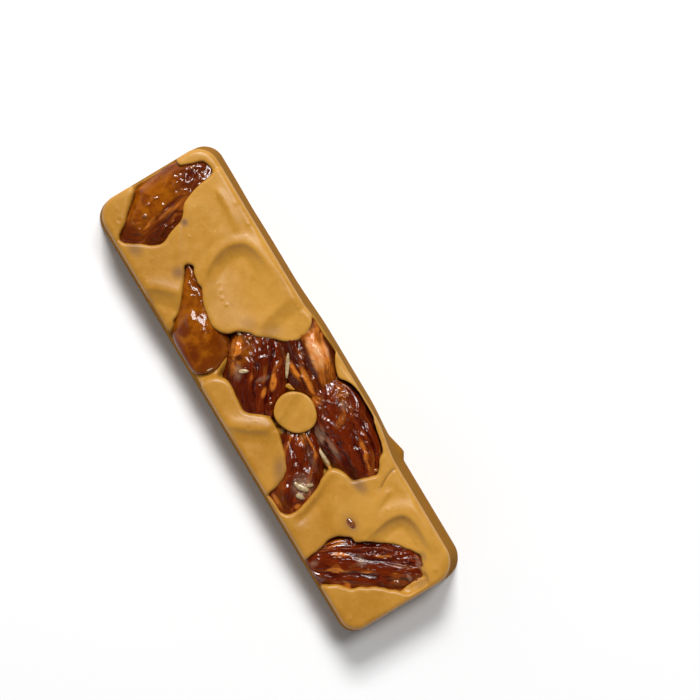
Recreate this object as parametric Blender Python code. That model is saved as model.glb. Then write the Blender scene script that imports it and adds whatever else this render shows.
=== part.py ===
"""Honey chocolate bar: a moulded bar of blond chocolate with seven caramel-coated almonds set in its face.

The face that was against the mould's floor is on top. Chocolate ran between the almonds in round fronts, so the
face is broken by recesses with rounded lips, and an almond shows in each. Units are metres, +Z is up, +X runs along
the bar, and the origin is the middle of the flat base.
"""

import math

import bmesh
import bpy
from mathutils import Matrix, Vector

MM = 0.001

# ---- the bar -------------------------------------------------------------------------------------------------------
LENGTH = 110.0  # at the base
HALF_WIDTH = 15.45  # base, on the -Y side
HEIGHT = 14.0
END_DRAFT = 2.0  # each end leans in by this much from base to face
SIDE_DRAFT = 1.95  # the -Y side
FACE_ROUNDING = 1.2  # radius where the walls turn into the face
BASE_ROUNDING = 0.35
CORNER_RADIUS = 4.6
CORNER_RADIUS_FAR = 5.4  # the +X +Y corner is the bluntest
SHIFT_Y = -0.55  # puts the middle of the outline, spur and all, on the origin
GAP = 0.3  # between pieces that touch

# ---- the recesses --------------------------------------------------------------------------------------------------
RECESS_FLOOR = 8.8  # height of the chocolate between the almonds
LIP_RADIUS = 1.05  # rounding of each lobe's edge
OUTLINE_STEP = 1.25  # spacing of the points along a recess's edge

# The edge of each lobe that a recess runs along, as the turning points of a smooth curve.
LEFT_LOBE = [(-32.8, -3.2), (-28.0, -2.8), (-22.0, -4.5), (-17.8, -4.7), (-15.2, -2.2), (-13.2, 1.1), (-10.0, 4.2), (-7.1, 7.8), (-6.8, 11.0), (-9.2, 13.4)]
FAR_RIM = [(-3.0, 13.6), (3.5, 13.3), (9.5, 14.0), (16.0, 13.9), (22.0, 12.8)]
NUT_END = [(24.0, 10.9), (26.6, 8.8), (25.2, 3.8), (21.6, 2.4)]
RIGHT_LOBE = [(20.6, 0.2), (22.3, -3.3), (23.7, -7.4), (24.3, -10.4), (22.6, -12.6)]
LOWER_LOBE = [(18.7, -12.7), (17.4, -9.2), (14.6, -6.4), (9.4, -4.8), (5.2, -4.3), (2.4, -6.2), (0.2, -8.3), (-5.5, -8.0), (-8.9, -9.6), (-10.0, -12.6)]
NEAR_LOBE = [(-14.0, -13.2), (-21.6, -13.2), (-24.2, -10.6), (-27.2, -7.3), (-30.6, -4.6)]
MIDDLE_RECESS = LEFT_LOBE + FAR_RIM + NUT_END + RIGHT_LOBE + LOWER_LOBE + NEAR_LOBE
END_RECESS = [(-47.6, 12.2), (-45.9, 8.3), (-44.2, 3.7), (-41.2, 0.6), (-39.3, -5.0), (-41.6, -9.6), (-44.2, -12.6), (-47.8, -8.9), (-51.0, -5.0), (-51.3, 0.5), (-51.0, 6.0), (-49.9, 10.8)]
SLANT_RECESS = [(46.4, 7.8), (49.3, 6.8), (50.6, 3.6), (49.6, -0.3), (46.0, -5.2), (43.2, -9.4), (40.4, -12.8), (36.6, -13.2), (34.2, -11.5), (33.4, -6.8), (35.2, -2.8), (38.2, 0.4), (41.4, 4.4)]

# Where an almond lay against the mould's wall, its recess opens through the rim: (centre x, y), half sizes, floor.
RIM_NOTCHES = [
    ("end", (-53.6, 1.8), (3.6, 6.2), 10.6),
    ("near", (-18.0, -14.8), (4.9, 2.6), 10.6),
    ("near_slant", (36.7, -14.6), (1.9, 2.4), 10.4),
    ("far", (-4.4, 14.9), (4.2, 2.2), 12.3),
]

# A round plug of chocolate stands alone between four almonds.
PLUG_AT, PLUG_RADII, PLUG_TURN = (6.2, 0.8), (4.7, 4.2), 20.0
PLUG_TOP, PLUG_WAIST = 13.75, 0.74  # the waist is a share of the top's radius

# Shallow folds in the face: (centre x, y), half length, half width, depth, turn in degrees.
FOLDS = [
    ("cup", (-24.2, 4.6), 7.4, 6.6, 0.45, 0.0),
    ("cup_right", (40.0, 9.0), 4.6, 2.6, 0.40, 35.0),
    ("valley", (5.4, -9.4), 4.0, 1.3, 0.50, 48.0),
    ("near_slope", (-27.6, -9.6), 3.6, 1.5, 0.40, -50.0),
]

# A thin spur of flash at the base, on the +Y side: first x, peak x, last x, reach, thickness.
SPUR = (21.8, 26.0, 27.6, 1.1, 2.2)

# ---- the almonds ---------------------------------------------------------------------------------------------------
# name: (x, y), height of the top, length, width, thickness, turn, rise (degrees), bluntness of the first and last end
ALMONDS = {
    "almond_end": ((-46.0, -0.2), 13.0, 27.6, 13.2, 9.0, -79.0, 0.0, 0.55, 0.62),
    "almond_teardrop": ((-20.9, -6.5), 12.9, 25.0, 10.8, 8.6, -17.0, -2.0, 1.25, 0.50),
    "almond_left": ((-5.2, -1.9), 13.1, 21.6, 13.2, 8.8, -31.0, 0.0, 0.55, 0.60),
    "almond_far_left": ((-4.9, 9.0), 12.7, 20.2, 11.2, 8.2, -11.0, 1.5, 0.60, 0.50),
    "almond_far_right": ((15.6, 8.0), 13.2, 24.0, 12.8, 9.0, -5.0, 0.0, 0.50, 0.62),
    "almond_near_right": ((16.5, -5.1), 12.8, 20.8, 11.6, 8.4, -43.0, 0.0, 0.62, 0.50),
    "almond_slant": ((42.6, -2.3), 13.3, 26.2, 12.2, 9.0, 53.0, 0.0, 0.52, 0.58),
}
ALMOND_SIDES, ALMOND_RINGS = 18, 12

# ---- materials: colour, roughness ----------------------------------------------------------------------------------
FINISHES = {
    "chocolate": ((0.60, 0.30, 0.066, 1.0), 0.42),
    "amber": ((0.26, 0.085, 0.012, 1.0), 0.16),
    "mahogany": ((0.085, 0.012, 0.004, 1.0), 0.14),
}
AMBER_ALMONDS = ("almond_end", "almond_teardrop")


def smoothstep(first, last, x):
    t = min(1.0, max(0.0, (x - first) / (last - first)))
    return t * t * (3.0 - 2.0 * t)


def far_base(x):
    """Where the +Y wall stands at the base: it bulges a little along the middle."""
    return 15.4 + 0.6 * smoothstep(-20.0, -5.0, x) - 0.6 * smoothstep(12.0, 22.0, x)


def far_face(x):
    """Where the +Y wall meets the face."""
    return 14.0 + 0.9 * smoothstep(-13.0, -7.0, x) - 1.6 * smoothstep(16.0, 27.0, x)


def wall(x, up):
    """(y of the +Y wall, y of the -Y wall) at a share of the height."""
    return far_base(x) + (far_face(x) - far_base(x)) * up, -(HALF_WIDTH - SIDE_DRAFT * up)


def bar_ring(z, inset):
    """The bar's outline at a height, drawn in by a distance, as points that match from ring to ring."""
    up = z / HEIGHT
    half = LENGTH / 2 - END_DRAFT * up - inset
    corners = [(1, 1, CORNER_RADIUS_FAR), (-1, 1, CORNER_RADIUS), (-1, -1, CORNER_RADIUS), (1, -1, CORNER_RADIUS * 0.8)]
    points = []
    for number, (sx, sy, radius) in enumerate(corners):
        radius = radius - inset
        side = wall(sx * (half - radius), up)
        reach = (side[0] if sy > 0 else -side[1]) - inset
        start = number * 90.0
        for step in range(7):
            angle = math.radians(start + 15.0 * step)
            points.append((sx * (half - radius) + radius * math.cos(angle), sy * (reach - radius) + radius * math.sin(angle)))
        nsx, nsy, nradius = corners[(number + 1) % 4]
        nradius -= inset
        if nsy == sy:  # a long side
            begin, end = sx * (half - radius), nsx * (half - nradius)
            for step in range(1, 14):
                x = begin + (end - begin) * step / 14
                side = wall(x, up)
                points.append((x, side[0] - inset if sy > 0 else side[1] + inset))
        else:  # an end
            begin = points[-1][1]
            nside = wall(nsx * (half - nradius), up)
            reach = (nside[0] if nsy > 0 else -nside[1]) - inset
            end = nsy * (reach - nradius)
            for step in range(1, 4):
                points.append((sx * half, begin + (end - begin) * step / 4))
    return [(x, y, z) for x, y in points]


def smooth_loop(turns, step):
    """A closed Catmull-Rom curve through its turning points, as points about one step apart."""
    points = []
    count = len(turns)
    for i in range(count):
        a, b, c, d = (Vector(turns[(i + k) % count]) for k in (-1, 0, 1, 2))
        pieces = max(1, round((c - b).length / step))
        for piece in range(pieces):
            t = piece / pieces
            points.append(0.5 * ((2 * b) + (c - a) * t + (2 * a - 5 * b + 4 * c - d) * t * t + (3 * b - a - 3 * c + d) * t**3))
    return points


def grown(loop, distance):
    """The loop moved outwards along its normals. Both neighbours shape the normal, which keeps tight turns tidy."""
    count = len(loop)
    area = sum(loop[i].x * loop[(i + 1) % count].y - loop[(i + 1) % count].x * loop[i].y for i in range(count))
    way = 1.0 if area > 0 else -1.0
    moved = []
    for i in range(count):
        along = loop[(i + 1) % count] - loop[i - 1]
        normal = Vector((along.y, -along.x)).normalized() * way
        moved.append(loop[i] + normal * distance)
    return moved


def solid_from_rings(name, rings):
    """A closed mesh through rings of matching points, from the lowest to the highest."""
    bm = bmesh.new()
    rows = [[bm.verts.new((x * MM, y * MM, z * MM)) for x, y, z in ring] for ring in rings]
    for low, high in zip(rows, rows[1:]):
        for i in range(len(low)):
            k = (i + 1) % len(low)
            bm.faces.new((low[i], low[k], high[k], high[i]))
    bm.faces.new(list(reversed(rows[0])))
    bm.faces.new(rows[-1])
    return finished(name, bm)


def finished(name, bm):
    """An object from the mesh being built, with its faces turned out."""
    bmesh.ops.recalc_face_normals(bm, faces=bm.faces[:])
    if bm.calc_volume(signed=True) < 0:
        bmesh.ops.reverse_faces(bm, faces=bm.faces[:])
    mesh = bpy.data.meshes.new(name)
    bm.to_mesh(mesh)
    bm.free()
    return bpy.data.objects.new(name, mesh)


def recess_cutter(name, turns, floor):
    """A recess with a flared mouth, which leaves a rounded lip on the chocolate round it."""
    loop = smooth_loop(turns, OUTLINE_STEP)
    rings = [[(p.x, p.y, floor) for p in grown(loop, -0.15)]]
    for angle in (0.0, 30.0, 60.0, 90.0):
        a = math.radians(angle)
        out = LIP_RADIUS * (1.0 - math.cos(a))
        z = HEIGHT - LIP_RADIUS * (1.0 - math.sin(a)) + (0.02 if angle == 90.0 else 0.0)
        rings.append([(p.x, p.y, z) for p in grown(loop, out)])
    rings.append([(p.x, p.y, HEIGHT + 1.5) for p in grown(loop, LIP_RADIUS)])
    return solid_from_rings(name, rings)


def oval(name, centre, radii, low, high, turn=0.0, waist=1.0, sides=28):
    """An upright oval plug, which may narrow towards its foot."""
    bm = bmesh.new()
    bmesh.ops.create_cone(bm, cap_ends=True, segments=sides, radius1=waist, radius2=1.0, depth=1.0)
    place = (
        Matrix.Translation(Vector((centre[0], centre[1], (low + high) / 2)) * MM)
        @ Matrix.Rotation(math.radians(turn), 4, "Z")
        @ Matrix.Diagonal((radii[0] * MM, radii[1] * MM, (high - low) * MM, 1.0))
    )
    bmesh.ops.transform(bm, matrix=place, verts=bm.verts[:])
    return finished(name, bm)


def dish(name, centre, half_length, half_width, depth, turn):
    """A very flat ellipsoid, level with the face, that presses a shallow fold into it."""
    bm = bmesh.new()
    bmesh.ops.create_uvsphere(bm, u_segments=20, v_segments=10, radius=1.0)
    place = (
        Matrix.Translation(Vector((centre[0], centre[1], HEIGHT + 0.02)) * MM)
        @ Matrix.Rotation(math.radians(turn), 4, "Z")
        @ Matrix.Diagonal((half_length * MM, half_width * MM, depth * MM, 1.0))
    )
    bmesh.ops.transform(bm, matrix=place, verts=bm.verts[:])
    return finished(name, bm)


def almond(name, size, extra=0.0):
    """An almond, or with extra the pocket that it lies in: a sphere drawn out along X with one end more pointed."""
    (x, y), top, length, width, thick, turn, rise, first, last = size
    peak = first / (first + last)
    most = peak**first * (1.0 - peak) ** last
    bm = bmesh.new()
    bmesh.ops.create_uvsphere(bm, u_segments=ALMOND_SIDES, v_segments=ALMOND_RINGS, radius=1.0)
    bmesh.ops.rotate(bm, verts=bm.verts[:], matrix=Matrix.Rotation(math.radians(90.0), 3, "Y"))
    for vert in bm.verts:
        along = vert.co.x
        share = min(1.0, max(0.0, (along + 1.0) / 2.0))
        round_now = math.sqrt(max(0.0, 1.0 - along * along))
        if round_now < 1e-6:
            vert.co = Vector((math.copysign(length / 2 + extra, along), 0.0, 0.0))
            continue
        swell = share**first * (1.0 - share) ** last / most
        across, up = vert.co.y / round_now, vert.co.z / round_now
        vert.co = Vector((along * (length / 2 + extra), across * (swell * width / 2 + extra), up * (swell * thick / 2 + extra)))
    turned = Matrix.Rotation(math.radians(turn), 4, "Z") @ Matrix.Rotation(math.radians(-rise), 4, "Y")
    for vert in bm.verts:
        vert.co *= MM
    bmesh.ops.transform(bm, matrix=turned, verts=bm.verts[:])
    # The top of the turned form goes to the named height, whatever its slant.
    peak_z = thick / 2 * MM
    bmesh.ops.translate(bm, verts=bm.verts[:], vec=Vector((x * MM, y * MM, top * MM - peak_z)))
    return finished(name, bm)


def spur(name):
    first, peak, last, reach, thick = SPUR
    inner = far_base(peak) - 1.2
    edge = far_base(peak)
    foot = [(first, inner), (first, edge - 0.1), (peak - 1.2, edge + reach * 0.55), (peak, edge + reach), (last, edge - 0.1), (last, inner)]
    low = [(px, py, 0.0) for px, py in foot]
    high = [(px, inner + (py - inner) * 0.62, thick) for px, py in foot]
    return solid_from_rings(name, [low, high])


def cut(target, cutter, operation="DIFFERENCE"):
    step = target.modifiers.new(f"{operation.lower()} {cutter.name}", "BOOLEAN")
    step.operation = operation
    step.object = cutter
    step.solver = "EXACT"
    cutter.hide_render = True
    cutter.display_type = "WIRE"
    helpers.objects.link(cutter)


def finish(name, key):
    colour, roughness = FINISHES[key]
    material = bpy.data.materials.new(name)
    material.use_nodes = True
    shader = material.node_tree.nodes["Principled BSDF"]
    shader.inputs["Base Color"].default_value = colour
    shader.inputs["Roughness"].default_value = roughness
    shader.inputs["Metallic"].default_value = 0.0
    shader.inputs["Coat Weight"].default_value = 0.0 if key == "chocolate" else 0.8
    return material


for old in list(bpy.data.objects):
    bpy.data.objects.remove(old)

parts = bpy.data.collections.new("honey_chocolate_bar")
helpers = bpy.data.collections.new("cutters")
bpy.context.scene.collection.children.link(parts)
bpy.context.scene.collection.children.link(helpers)

# The bar: base edge, drafted walls, and the walls rolling over into the face.
rings = [bar_ring(0.0, BASE_ROUNDING), bar_ring(BASE_ROUNDING, 0.0)]
for angle in (0.0, 30.0, 60.0, 90.0):
    a = math.radians(angle)
    rings.append(bar_ring(HEIGHT - FACE_ROUNDING * (1.0 - math.sin(a)), FACE_ROUNDING * (1.0 - math.cos(a))))
bar = solid_from_rings("chocolate_bar", rings)
parts.objects.link(bar)
bar.data.materials.append(finish("blond_chocolate", "chocolate"))

cut(bar, spur("spur"), "UNION")
for label, turns in (("middle_recess", MIDDLE_RECESS), ("end_recess", END_RECESS), ("slant_recess", SLANT_RECESS)):
    cut(bar, recess_cutter(label, turns, RECESS_FLOOR))
for label, centre, halves, floor in RIM_NOTCHES:
    cut(bar, oval(f"notch_{label}", centre, halves, floor, HEIGHT + 2.0, waist=0.86, sides=24))
cut(bar, oval("plug", PLUG_AT, PLUG_RADII, RECESS_FLOOR - 1.0, PLUG_TOP, PLUG_TURN, PLUG_WAIST), "UNION")
for label, *shape in FOLDS:
    cut(bar, dish(f"fold_{label}", *shape))

# The almonds. Where two touch, the later one is cut back from the earlier.
done = []
for name, size in ALMONDS.items():
    nut = almond(name, size)
    parts.objects.link(nut)
    key = "amber" if name in AMBER_ALMONDS else "mahogany"
    nut.data.materials.append(finish(f"{key}_{name}", key))
    for other in done:
        apart = math.dist(size[0], ALMONDS[other][0])
        if apart < (size[2] + ALMONDS[other][2]) / 2:
            cut(nut, almond(f"clear_{other}_{name}", ALMONDS[other], GAP))
    done.append(name)
    cut(bar, almond(f"pocket_{name}", size, GAP))

# Everything moves so that the middle of the outline is the origin.
for obj in list(parts.objects) + list(helpers.objects):
    obj.location.y += SHIFT_Y * MM
for obj in parts.objects:
    obj.data.shade_smooth()
    obj.data.set_sharp_from_angle(angle=math.radians(35.0))
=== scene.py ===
"""Looks of the honey chocolate bar: the moulded chocolate with its flow folds, the glazed almonds and the seeds.

Shapes are worked out in millimetres in the bar's own plan (x along, y across, z up from the base) and written to
meshes in metres. SHIFT_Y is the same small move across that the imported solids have.
"""

import math

import bpy
import numpy as np
from mathutils import Euler, Matrix, Vector
from mathutils.bvhtree import BVHTree


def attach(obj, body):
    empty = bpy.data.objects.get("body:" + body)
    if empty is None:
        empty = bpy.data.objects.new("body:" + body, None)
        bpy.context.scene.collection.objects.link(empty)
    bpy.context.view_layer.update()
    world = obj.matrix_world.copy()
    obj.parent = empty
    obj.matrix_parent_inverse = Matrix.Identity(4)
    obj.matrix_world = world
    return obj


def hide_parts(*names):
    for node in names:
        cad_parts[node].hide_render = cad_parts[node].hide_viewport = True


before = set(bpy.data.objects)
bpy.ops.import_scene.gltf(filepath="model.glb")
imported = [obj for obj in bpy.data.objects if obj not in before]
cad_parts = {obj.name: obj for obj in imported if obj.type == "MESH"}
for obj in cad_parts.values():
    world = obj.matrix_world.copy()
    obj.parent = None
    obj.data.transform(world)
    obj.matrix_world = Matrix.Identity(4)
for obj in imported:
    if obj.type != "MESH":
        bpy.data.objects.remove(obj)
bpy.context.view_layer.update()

MM = 0.001
SHIFT_Y = -0.55
GRID = 0.29  # spacing of the chocolate's mesh

# ---- the bar's sizes, as in the solids ------------------------------------------------------------------------------
LENGTH, HALF_WIDTH, HEIGHT = 110.0, 15.45, 14.0
END_DRAFT, SIDE_DRAFT = 2.0, 1.95


# =====================================================================================================================
# Small tools
# =====================================================================================================================
def smoothstep(first, last, x):
    t = np.clip((np.asarray(x, float) - first) / (last - first), 0.0, 1.0)
    return t * t * (3.0 - 2.0 * t)


def smooth_max(a, b, k):
    h = np.maximum(k - np.abs(a - b), 0.0) / k
    return np.maximum(a, b) + h * h * k * 0.25


def smooth_min(a, b, k):
    return -smooth_max(-a, -b, k)


class Noise:
    """Smooth value noise in three dimensions, about -1 to 1, the same each run."""

    def __init__(self, seed, size=32):
        self.size = size
        self.grid = np.random.RandomState(seed).uniform(-1.0, 1.0, (size, size, size))

    def __call__(self, x, y, z=0.0):
        x, y, z = np.broadcast_arrays(np.asarray(x, float), np.asarray(y, float), np.asarray(z, float))
        cell = [np.floor(v).astype(int) for v in (x, y, z)]
        part = [v - c for v, c in zip((x, y, z), cell)]
        part = [t * t * t * (t * (t * 6.0 - 15.0) + 10.0) for t in part]
        i0, j0, k0 = (c % self.size for c in cell)
        i1, j1, k1 = ((c + 1) % self.size for c in cell)
        tx, ty, tz = part
        g = self.grid
        low = (g[i0, j0, k0] * (1 - tx) + g[i1, j0, k0] * tx) * (1 - ty) + (g[i0, j1, k0] * (1 - tx) + g[i1, j1, k0] * tx) * ty
        high = (g[i0, j0, k1] * (1 - tx) + g[i1, j0, k1] * tx) * (1 - ty) + (g[i0, j1, k1] * (1 - tx) + g[i1, j1, k1] * tx) * ty
        return low * (1 - tz) + high * tz

    def layers(self, x, y, z=0.0, count=3, gain=0.5):
        total, height, scale = 0.0, 1.0, 1.0
        for _ in range(count):
            total = total + height * self(np.asarray(x) * scale + 7.3 * scale, np.asarray(y) * scale + 3.1, np.asarray(z) * scale)
            height *= gain
            scale *= 2.03
        return total


def spline(turns, closed=False, step=0.3):
    """A Catmull-Rom curve through its turning points, as points about one step apart."""
    p = np.array(turns, float)
    n = len(p)
    rows = []
    for i in range(n if closed else n - 1):
        if closed:
            a, b, c, d = p[i - 1], p[i], p[(i + 1) % n], p[(i + 2) % n]
        else:
            a, b, c, d = p[max(i - 1, 0)], p[i], p[i + 1], p[min(i + 2, n - 1)]
        m = max(1, int(math.ceil(np.linalg.norm(c - b) / step)))
        t = (np.arange(m) / m)[:, None]
        rows.append(0.5 * (2 * b + (c - a) * t + (2 * a - 5 * b + 4 * c - d) * t**2 + (3 * b - a - 3 * c + d) * t**3))
    if not closed:
        rows.append(p[-1:])
    return np.vstack(rows)


def path_field(x, y, path, closed=False):
    """For points x, y: distance to the path, +1 on its left and -1 on its right (or inside), and share of its length."""
    a = path
    b = np.roll(path, -1, axis=0) if closed else path[1:]
    if not closed:
        a = path[:-1]
    lengths = np.linalg.norm(b - a, axis=1)
    run = np.concatenate(([0.0], np.cumsum(lengths)))
    best = np.full(x.shape, 1e9)
    side = np.zeros(x.shape)
    along = np.zeros(x.shape)
    crossings = np.zeros(x.shape, int)
    for i in range(len(a)):
        ax, ay = a[i]
        dx, dy = b[i] - a[i]
        size = dx * dx + dy * dy
        if size < 1e-12:
            continue
        px, py = x - ax, y - ay
        t = np.clip((px * dx + py * dy) / size, 0.0, 1.0)
        d2 = (px - t * dx) ** 2 + (py - t * dy) ** 2
        nearer = d2 < best
        best = np.where(nearer, d2, best)
        side = np.where(nearer, np.sign(dx * py - dy * px), side)
        along = np.where(nearer, run[i] + t * lengths[i], along)
        if closed:
            spans = (ay > y) != (ay + dy > y)
            with np.errstate(divide="ignore", invalid="ignore"):
                hit = ax + (y - ay) / dy * dx if dy != 0 else np.full(x.shape, -1e9)
            crossings += spans & (x < hit)
    distance = np.sqrt(best)
    if closed:
        side = np.where(crossings % 2 == 1, -1.0, 1.0)
    return distance, side, along / run[-1]


def blob(x, y, cx, cy, rx, ry, turn=0.0, soft=0.35):
    """1 inside an ellipse and 0 outside, with a soft edge that is a share of its size."""
    a = math.radians(turn)
    u = ((x - cx) * math.cos(a) + (y - cy) * math.sin(a)) / rx
    v = (-(x - cx) * math.sin(a) + (y - cy) * math.cos(a)) / ry
    return 1.0 - smoothstep(1.0 - soft, 1.0 + soft, np.sqrt(u * u + v * v))


def make_object(name, verts_mm, faces, smooth=True):
    mesh = bpy.data.meshes.new(name)
    verts = np.asarray(verts_mm, float) * MM
    faces = np.asarray(faces)
    mesh.vertices.add(len(verts))
    mesh.vertices.foreach_set("co", verts.astype(np.float32).ravel())
    sides = faces.shape[1]
    mesh.loops.add(faces.size)
    mesh.loops.foreach_set("vertex_index", faces.astype(np.int32).ravel())
    mesh.polygons.add(len(faces))
    mesh.polygons.foreach_set("loop_start", np.arange(0, faces.size, sides, dtype=np.int32))
    mesh.polygons.foreach_set("loop_total", np.full(len(faces), sides, dtype=np.int32))
    mesh.update(calc_edges=True)
    mesh.validate()
    if smooth:
        mesh.shade_smooth()
    obj = bpy.data.objects.new(name, mesh)
    bpy.context.scene.collection.objects.link(obj)
    return obj


def add_attribute(obj, name, values):
    layer = obj.data.attributes.new(name, "FLOAT", "POINT")
    layer.data.foreach_set("value", np.asarray(values, np.float32).ravel())


# =====================================================================================================================
# The chocolate
# =====================================================================================================================
def far_base(x):
    return 15.4 + 0.6 * smoothstep(-20.0, -5.0, x) - 0.6 * smoothstep(12.0, 22.0, x) - 0.12 * np.exp(-(((x + 37.0) / 5.0) ** 2))


def far_face(x):
    return 14.0 + 0.9 * smoothstep(-13.0, -7.0, x) - 1.6 * smoothstep(16.0, 27.0, x)


# The edges of the lobes, going round each recess.
LEFT_LOBE = [(-32.5, -2.7), (-31.6, -1.9), (-30.3, -2.5), (-28.0, -3.0), (-26.9, -2.8), (-25.8, -3.2), (-24.6, -3.8), (-23.3, -4.3), (-21.9, -4.6), (-19.2, -4.95), (-18.0, -4.8), (-16.9, -4.4), (-16.0, -3.6), (-15.3, -2.6), (-15.0, -1.5), (-14.7, -0.7), (-13.9, 0.2), (-13.2, 1.0), (-12.2, 1.6), (-11.5, 2.3), (-10.8, 3.2), (-10.1, 4.1), (-9.2, 5.2), (-8.3, 6.1), (-7.6, 6.9), (-7.0, 7.8), (-6.7, 8.9), (-6.6, 10.0), (-6.8, 11.2), (-7.25, 12.2), (-7.9, 13.2), (-9.1, 14.1), (-10.8, 15.0)]
FAR_RIM = [(-9.0, 16.6), (-3.4, 16.9), (-1.0, 15.2), (0.6, 14.0), (2.6, 13.0), (4.3, 12.45), (5.1, 12.7), (6.1, 13.5), (7.6, 14.3), (9.4, 14.6), (13.4, 14.65), (15.6, 14.5), (17.0, 14.1), (18.8, 13.75), (20.6, 13.35), (22.0, 12.9), (23.1, 12.3)]
NUT_END = [(23.7, 11.4), (24.4, 10.7), (25.5, 10.0), (26.6, 8.9), (26.3, 7.8), (26.1, 6.9), (25.5, 5.4), (25.0, 3.9), (23.4, 3.4), (22.0, 2.8), (20.9, 1.9)]
RIGHT_LOBE = [(20.45, 0.7), (21.0, -1.3), (21.9, -2.7), (22.6, -4.0), (23.1, -5.4), (23.6, -6.8), (23.9, -7.9), (24.3, -9.2), (24.3, -11.1), (23.8, -12.1), (22.6, -12.9), (20.6, -13.3), (18.8, -13.4)]
LOWER_LOBE = [(18.15, -12.6), (18.0, -11.4), (17.7, -10.2), (17.2, -8.9), (16.5, -7.8), (15.6, -6.9), (13.8, -6.1), (12.4, -5.5), (10.4, -5.05), (9.2, -4.7), (8.0, -4.35), (6.5, -4.35), (5.1, -4.3), (4.2, -4.6), (3.3, -5.3), (2.4, -6.3), (1.7, -7.3), (0.8, -8.15), (-0.5, -8.5), (-2.4, -8.3), (-5.5, -7.95), (-6.9, -8.05), (-8.0, -8.6), (-9.0, -9.7), (-9.5, -10.9), (-9.7, -12.2), (-9.6, -13.8), (-9.9, -16.2)]
NEAR_LOBE = [(-16.0, -17.4), (-22.6, -16.2), (-23.1, -13.9), (-23.6, -12.0), (-24.2, -10.6), (-24.9, -9.5), (-25.8, -8.5), (-26.9, -7.6), (-28.0, -6.6), (-29.2, -5.75), (-30.4, -4.8), (-31.6, -4.0), (-32.5, -3.4)]
MIDDLE_RECESS = LEFT_LOBE + FAR_RIM + NUT_END + RIGHT_LOBE + LOWER_LOBE + NEAR_LOBE
END_RECESS = [(-49.8, 11.3), (-48.3, 12.0), (-46.8, 12.0), (-46.3, 10.7), (-46.0, 8.6), (-45.7, 7.1), (-45.1, 5.6), (-44.4, 4.0), (-43.7, 3.0), (-42.8, 2.2), (-41.8, 1.4), (-41.1, 0.5), (-40.8, -0.9), (-40.2, -2.5), (-39.4, -4.0), (-39.2, -5.2), (-39.5, -6.5), (-40.3, -7.7), (-41.2, -8.8), (-41.9, -9.8), (-42.7, -11.0), (-43.6, -12.1), (-44.6, -12.5), (-45.5, -11.8), (-46.2, -10.8), (-47.1, -9.5), (-48.5, -8.1), (-49.6, -6.7), (-50.8, -5.5), (-52.2, -4.2), (-56.0, -3.6), (-57.0, 1.5), (-56.0, 6.4), (-52.0, 6.6), (-51.0, 7.9), (-50.4, 9.2), (-50.1, 10.4)]
SLANT_RECESS = [(45.6, 7.7), (46.6, 7.9), (48.1, 7.3), (49.4, 7.2), (50.9, 7.2), (51.9, 6.6), (52.2, 5.0), (52.2, 2.6), (51.7, 1.2), (50.2, 0.1), (49.0, -1.2), (47.9, -2.4), (46.9, -3.6), (46.0, -5.2), (45.1, -6.5), (44.6, -8.1), (43.4, -9.3), (42.3, -10.4), (41.6, -11.8), (40.9, -13.2), (40.2, -16.0), (37.6, -17.4), (34.9, -16.2), (34.8, -14.0), (34.3, -12.6), (34.0, -10.6), (33.7, -9.0), (33.3, -7.4), (33.5, -5.0), (34.2, -3.8), (35.2, -2.8), (36.5, -2.5), (37.1, -1.5), (37.5, -0.6), (38.5, 0.8), (39.9, 2.5), (41.3, 4.3), (42.9, 5.6), (44.5, 6.9)]

# Level of the chocolate in the recesses: (x, y, half sizes, turn, level). Elsewhere it is RECESS_FLOOR.
RECESS_FLOOR = 8.8
SHELVES = [
    (-11.2, -12.0, 3.0, 7.0, 8.0, 11.9),
    (1.2, 2.9, 1.9, 0.9, 48.0, 11.5),
    (3.4, -4.2, 2.2, 0.9, -38.0, 11.3),
    (8.4, -3.7, 1.6, 0.8, 10.0, 11.0),
    (51.4, 3.8, 1.7, 4.4, 0.0, 12.8),
    (50.2, 7.0, 2.4, 1.0, 0.0, 12.6),
    (21.3, -13.8, 3.6, 1.2, 0.0, 12.9),
    (37.6, -15.6, 8.0, 2.4, 0.0, 11.4),
    (-55.0, 1.4, 3.0, 10.0, 0.0, 11.3),
    (17.6, 1.1, 3.0, 0.9, -4.0, 11.2),
    (-17.5, -16.0, 11.0, 2.7, 0.0, 10.9),
    (-23.8, -13.4, 1.7, 2.0, 0.0, 12.5),
    (-6.6, 16.3, 9.5, 2.4, 0.0, 12.0),
]

# The plug that stands alone between four almonds.
PLUG_AT, PLUG_RADII, PLUG_TURN, PLUG_TOP, PLUG_WAIST = (6.27, 0.85), (4.75, 4.28), 22.0, 13.75, 0.74

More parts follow.
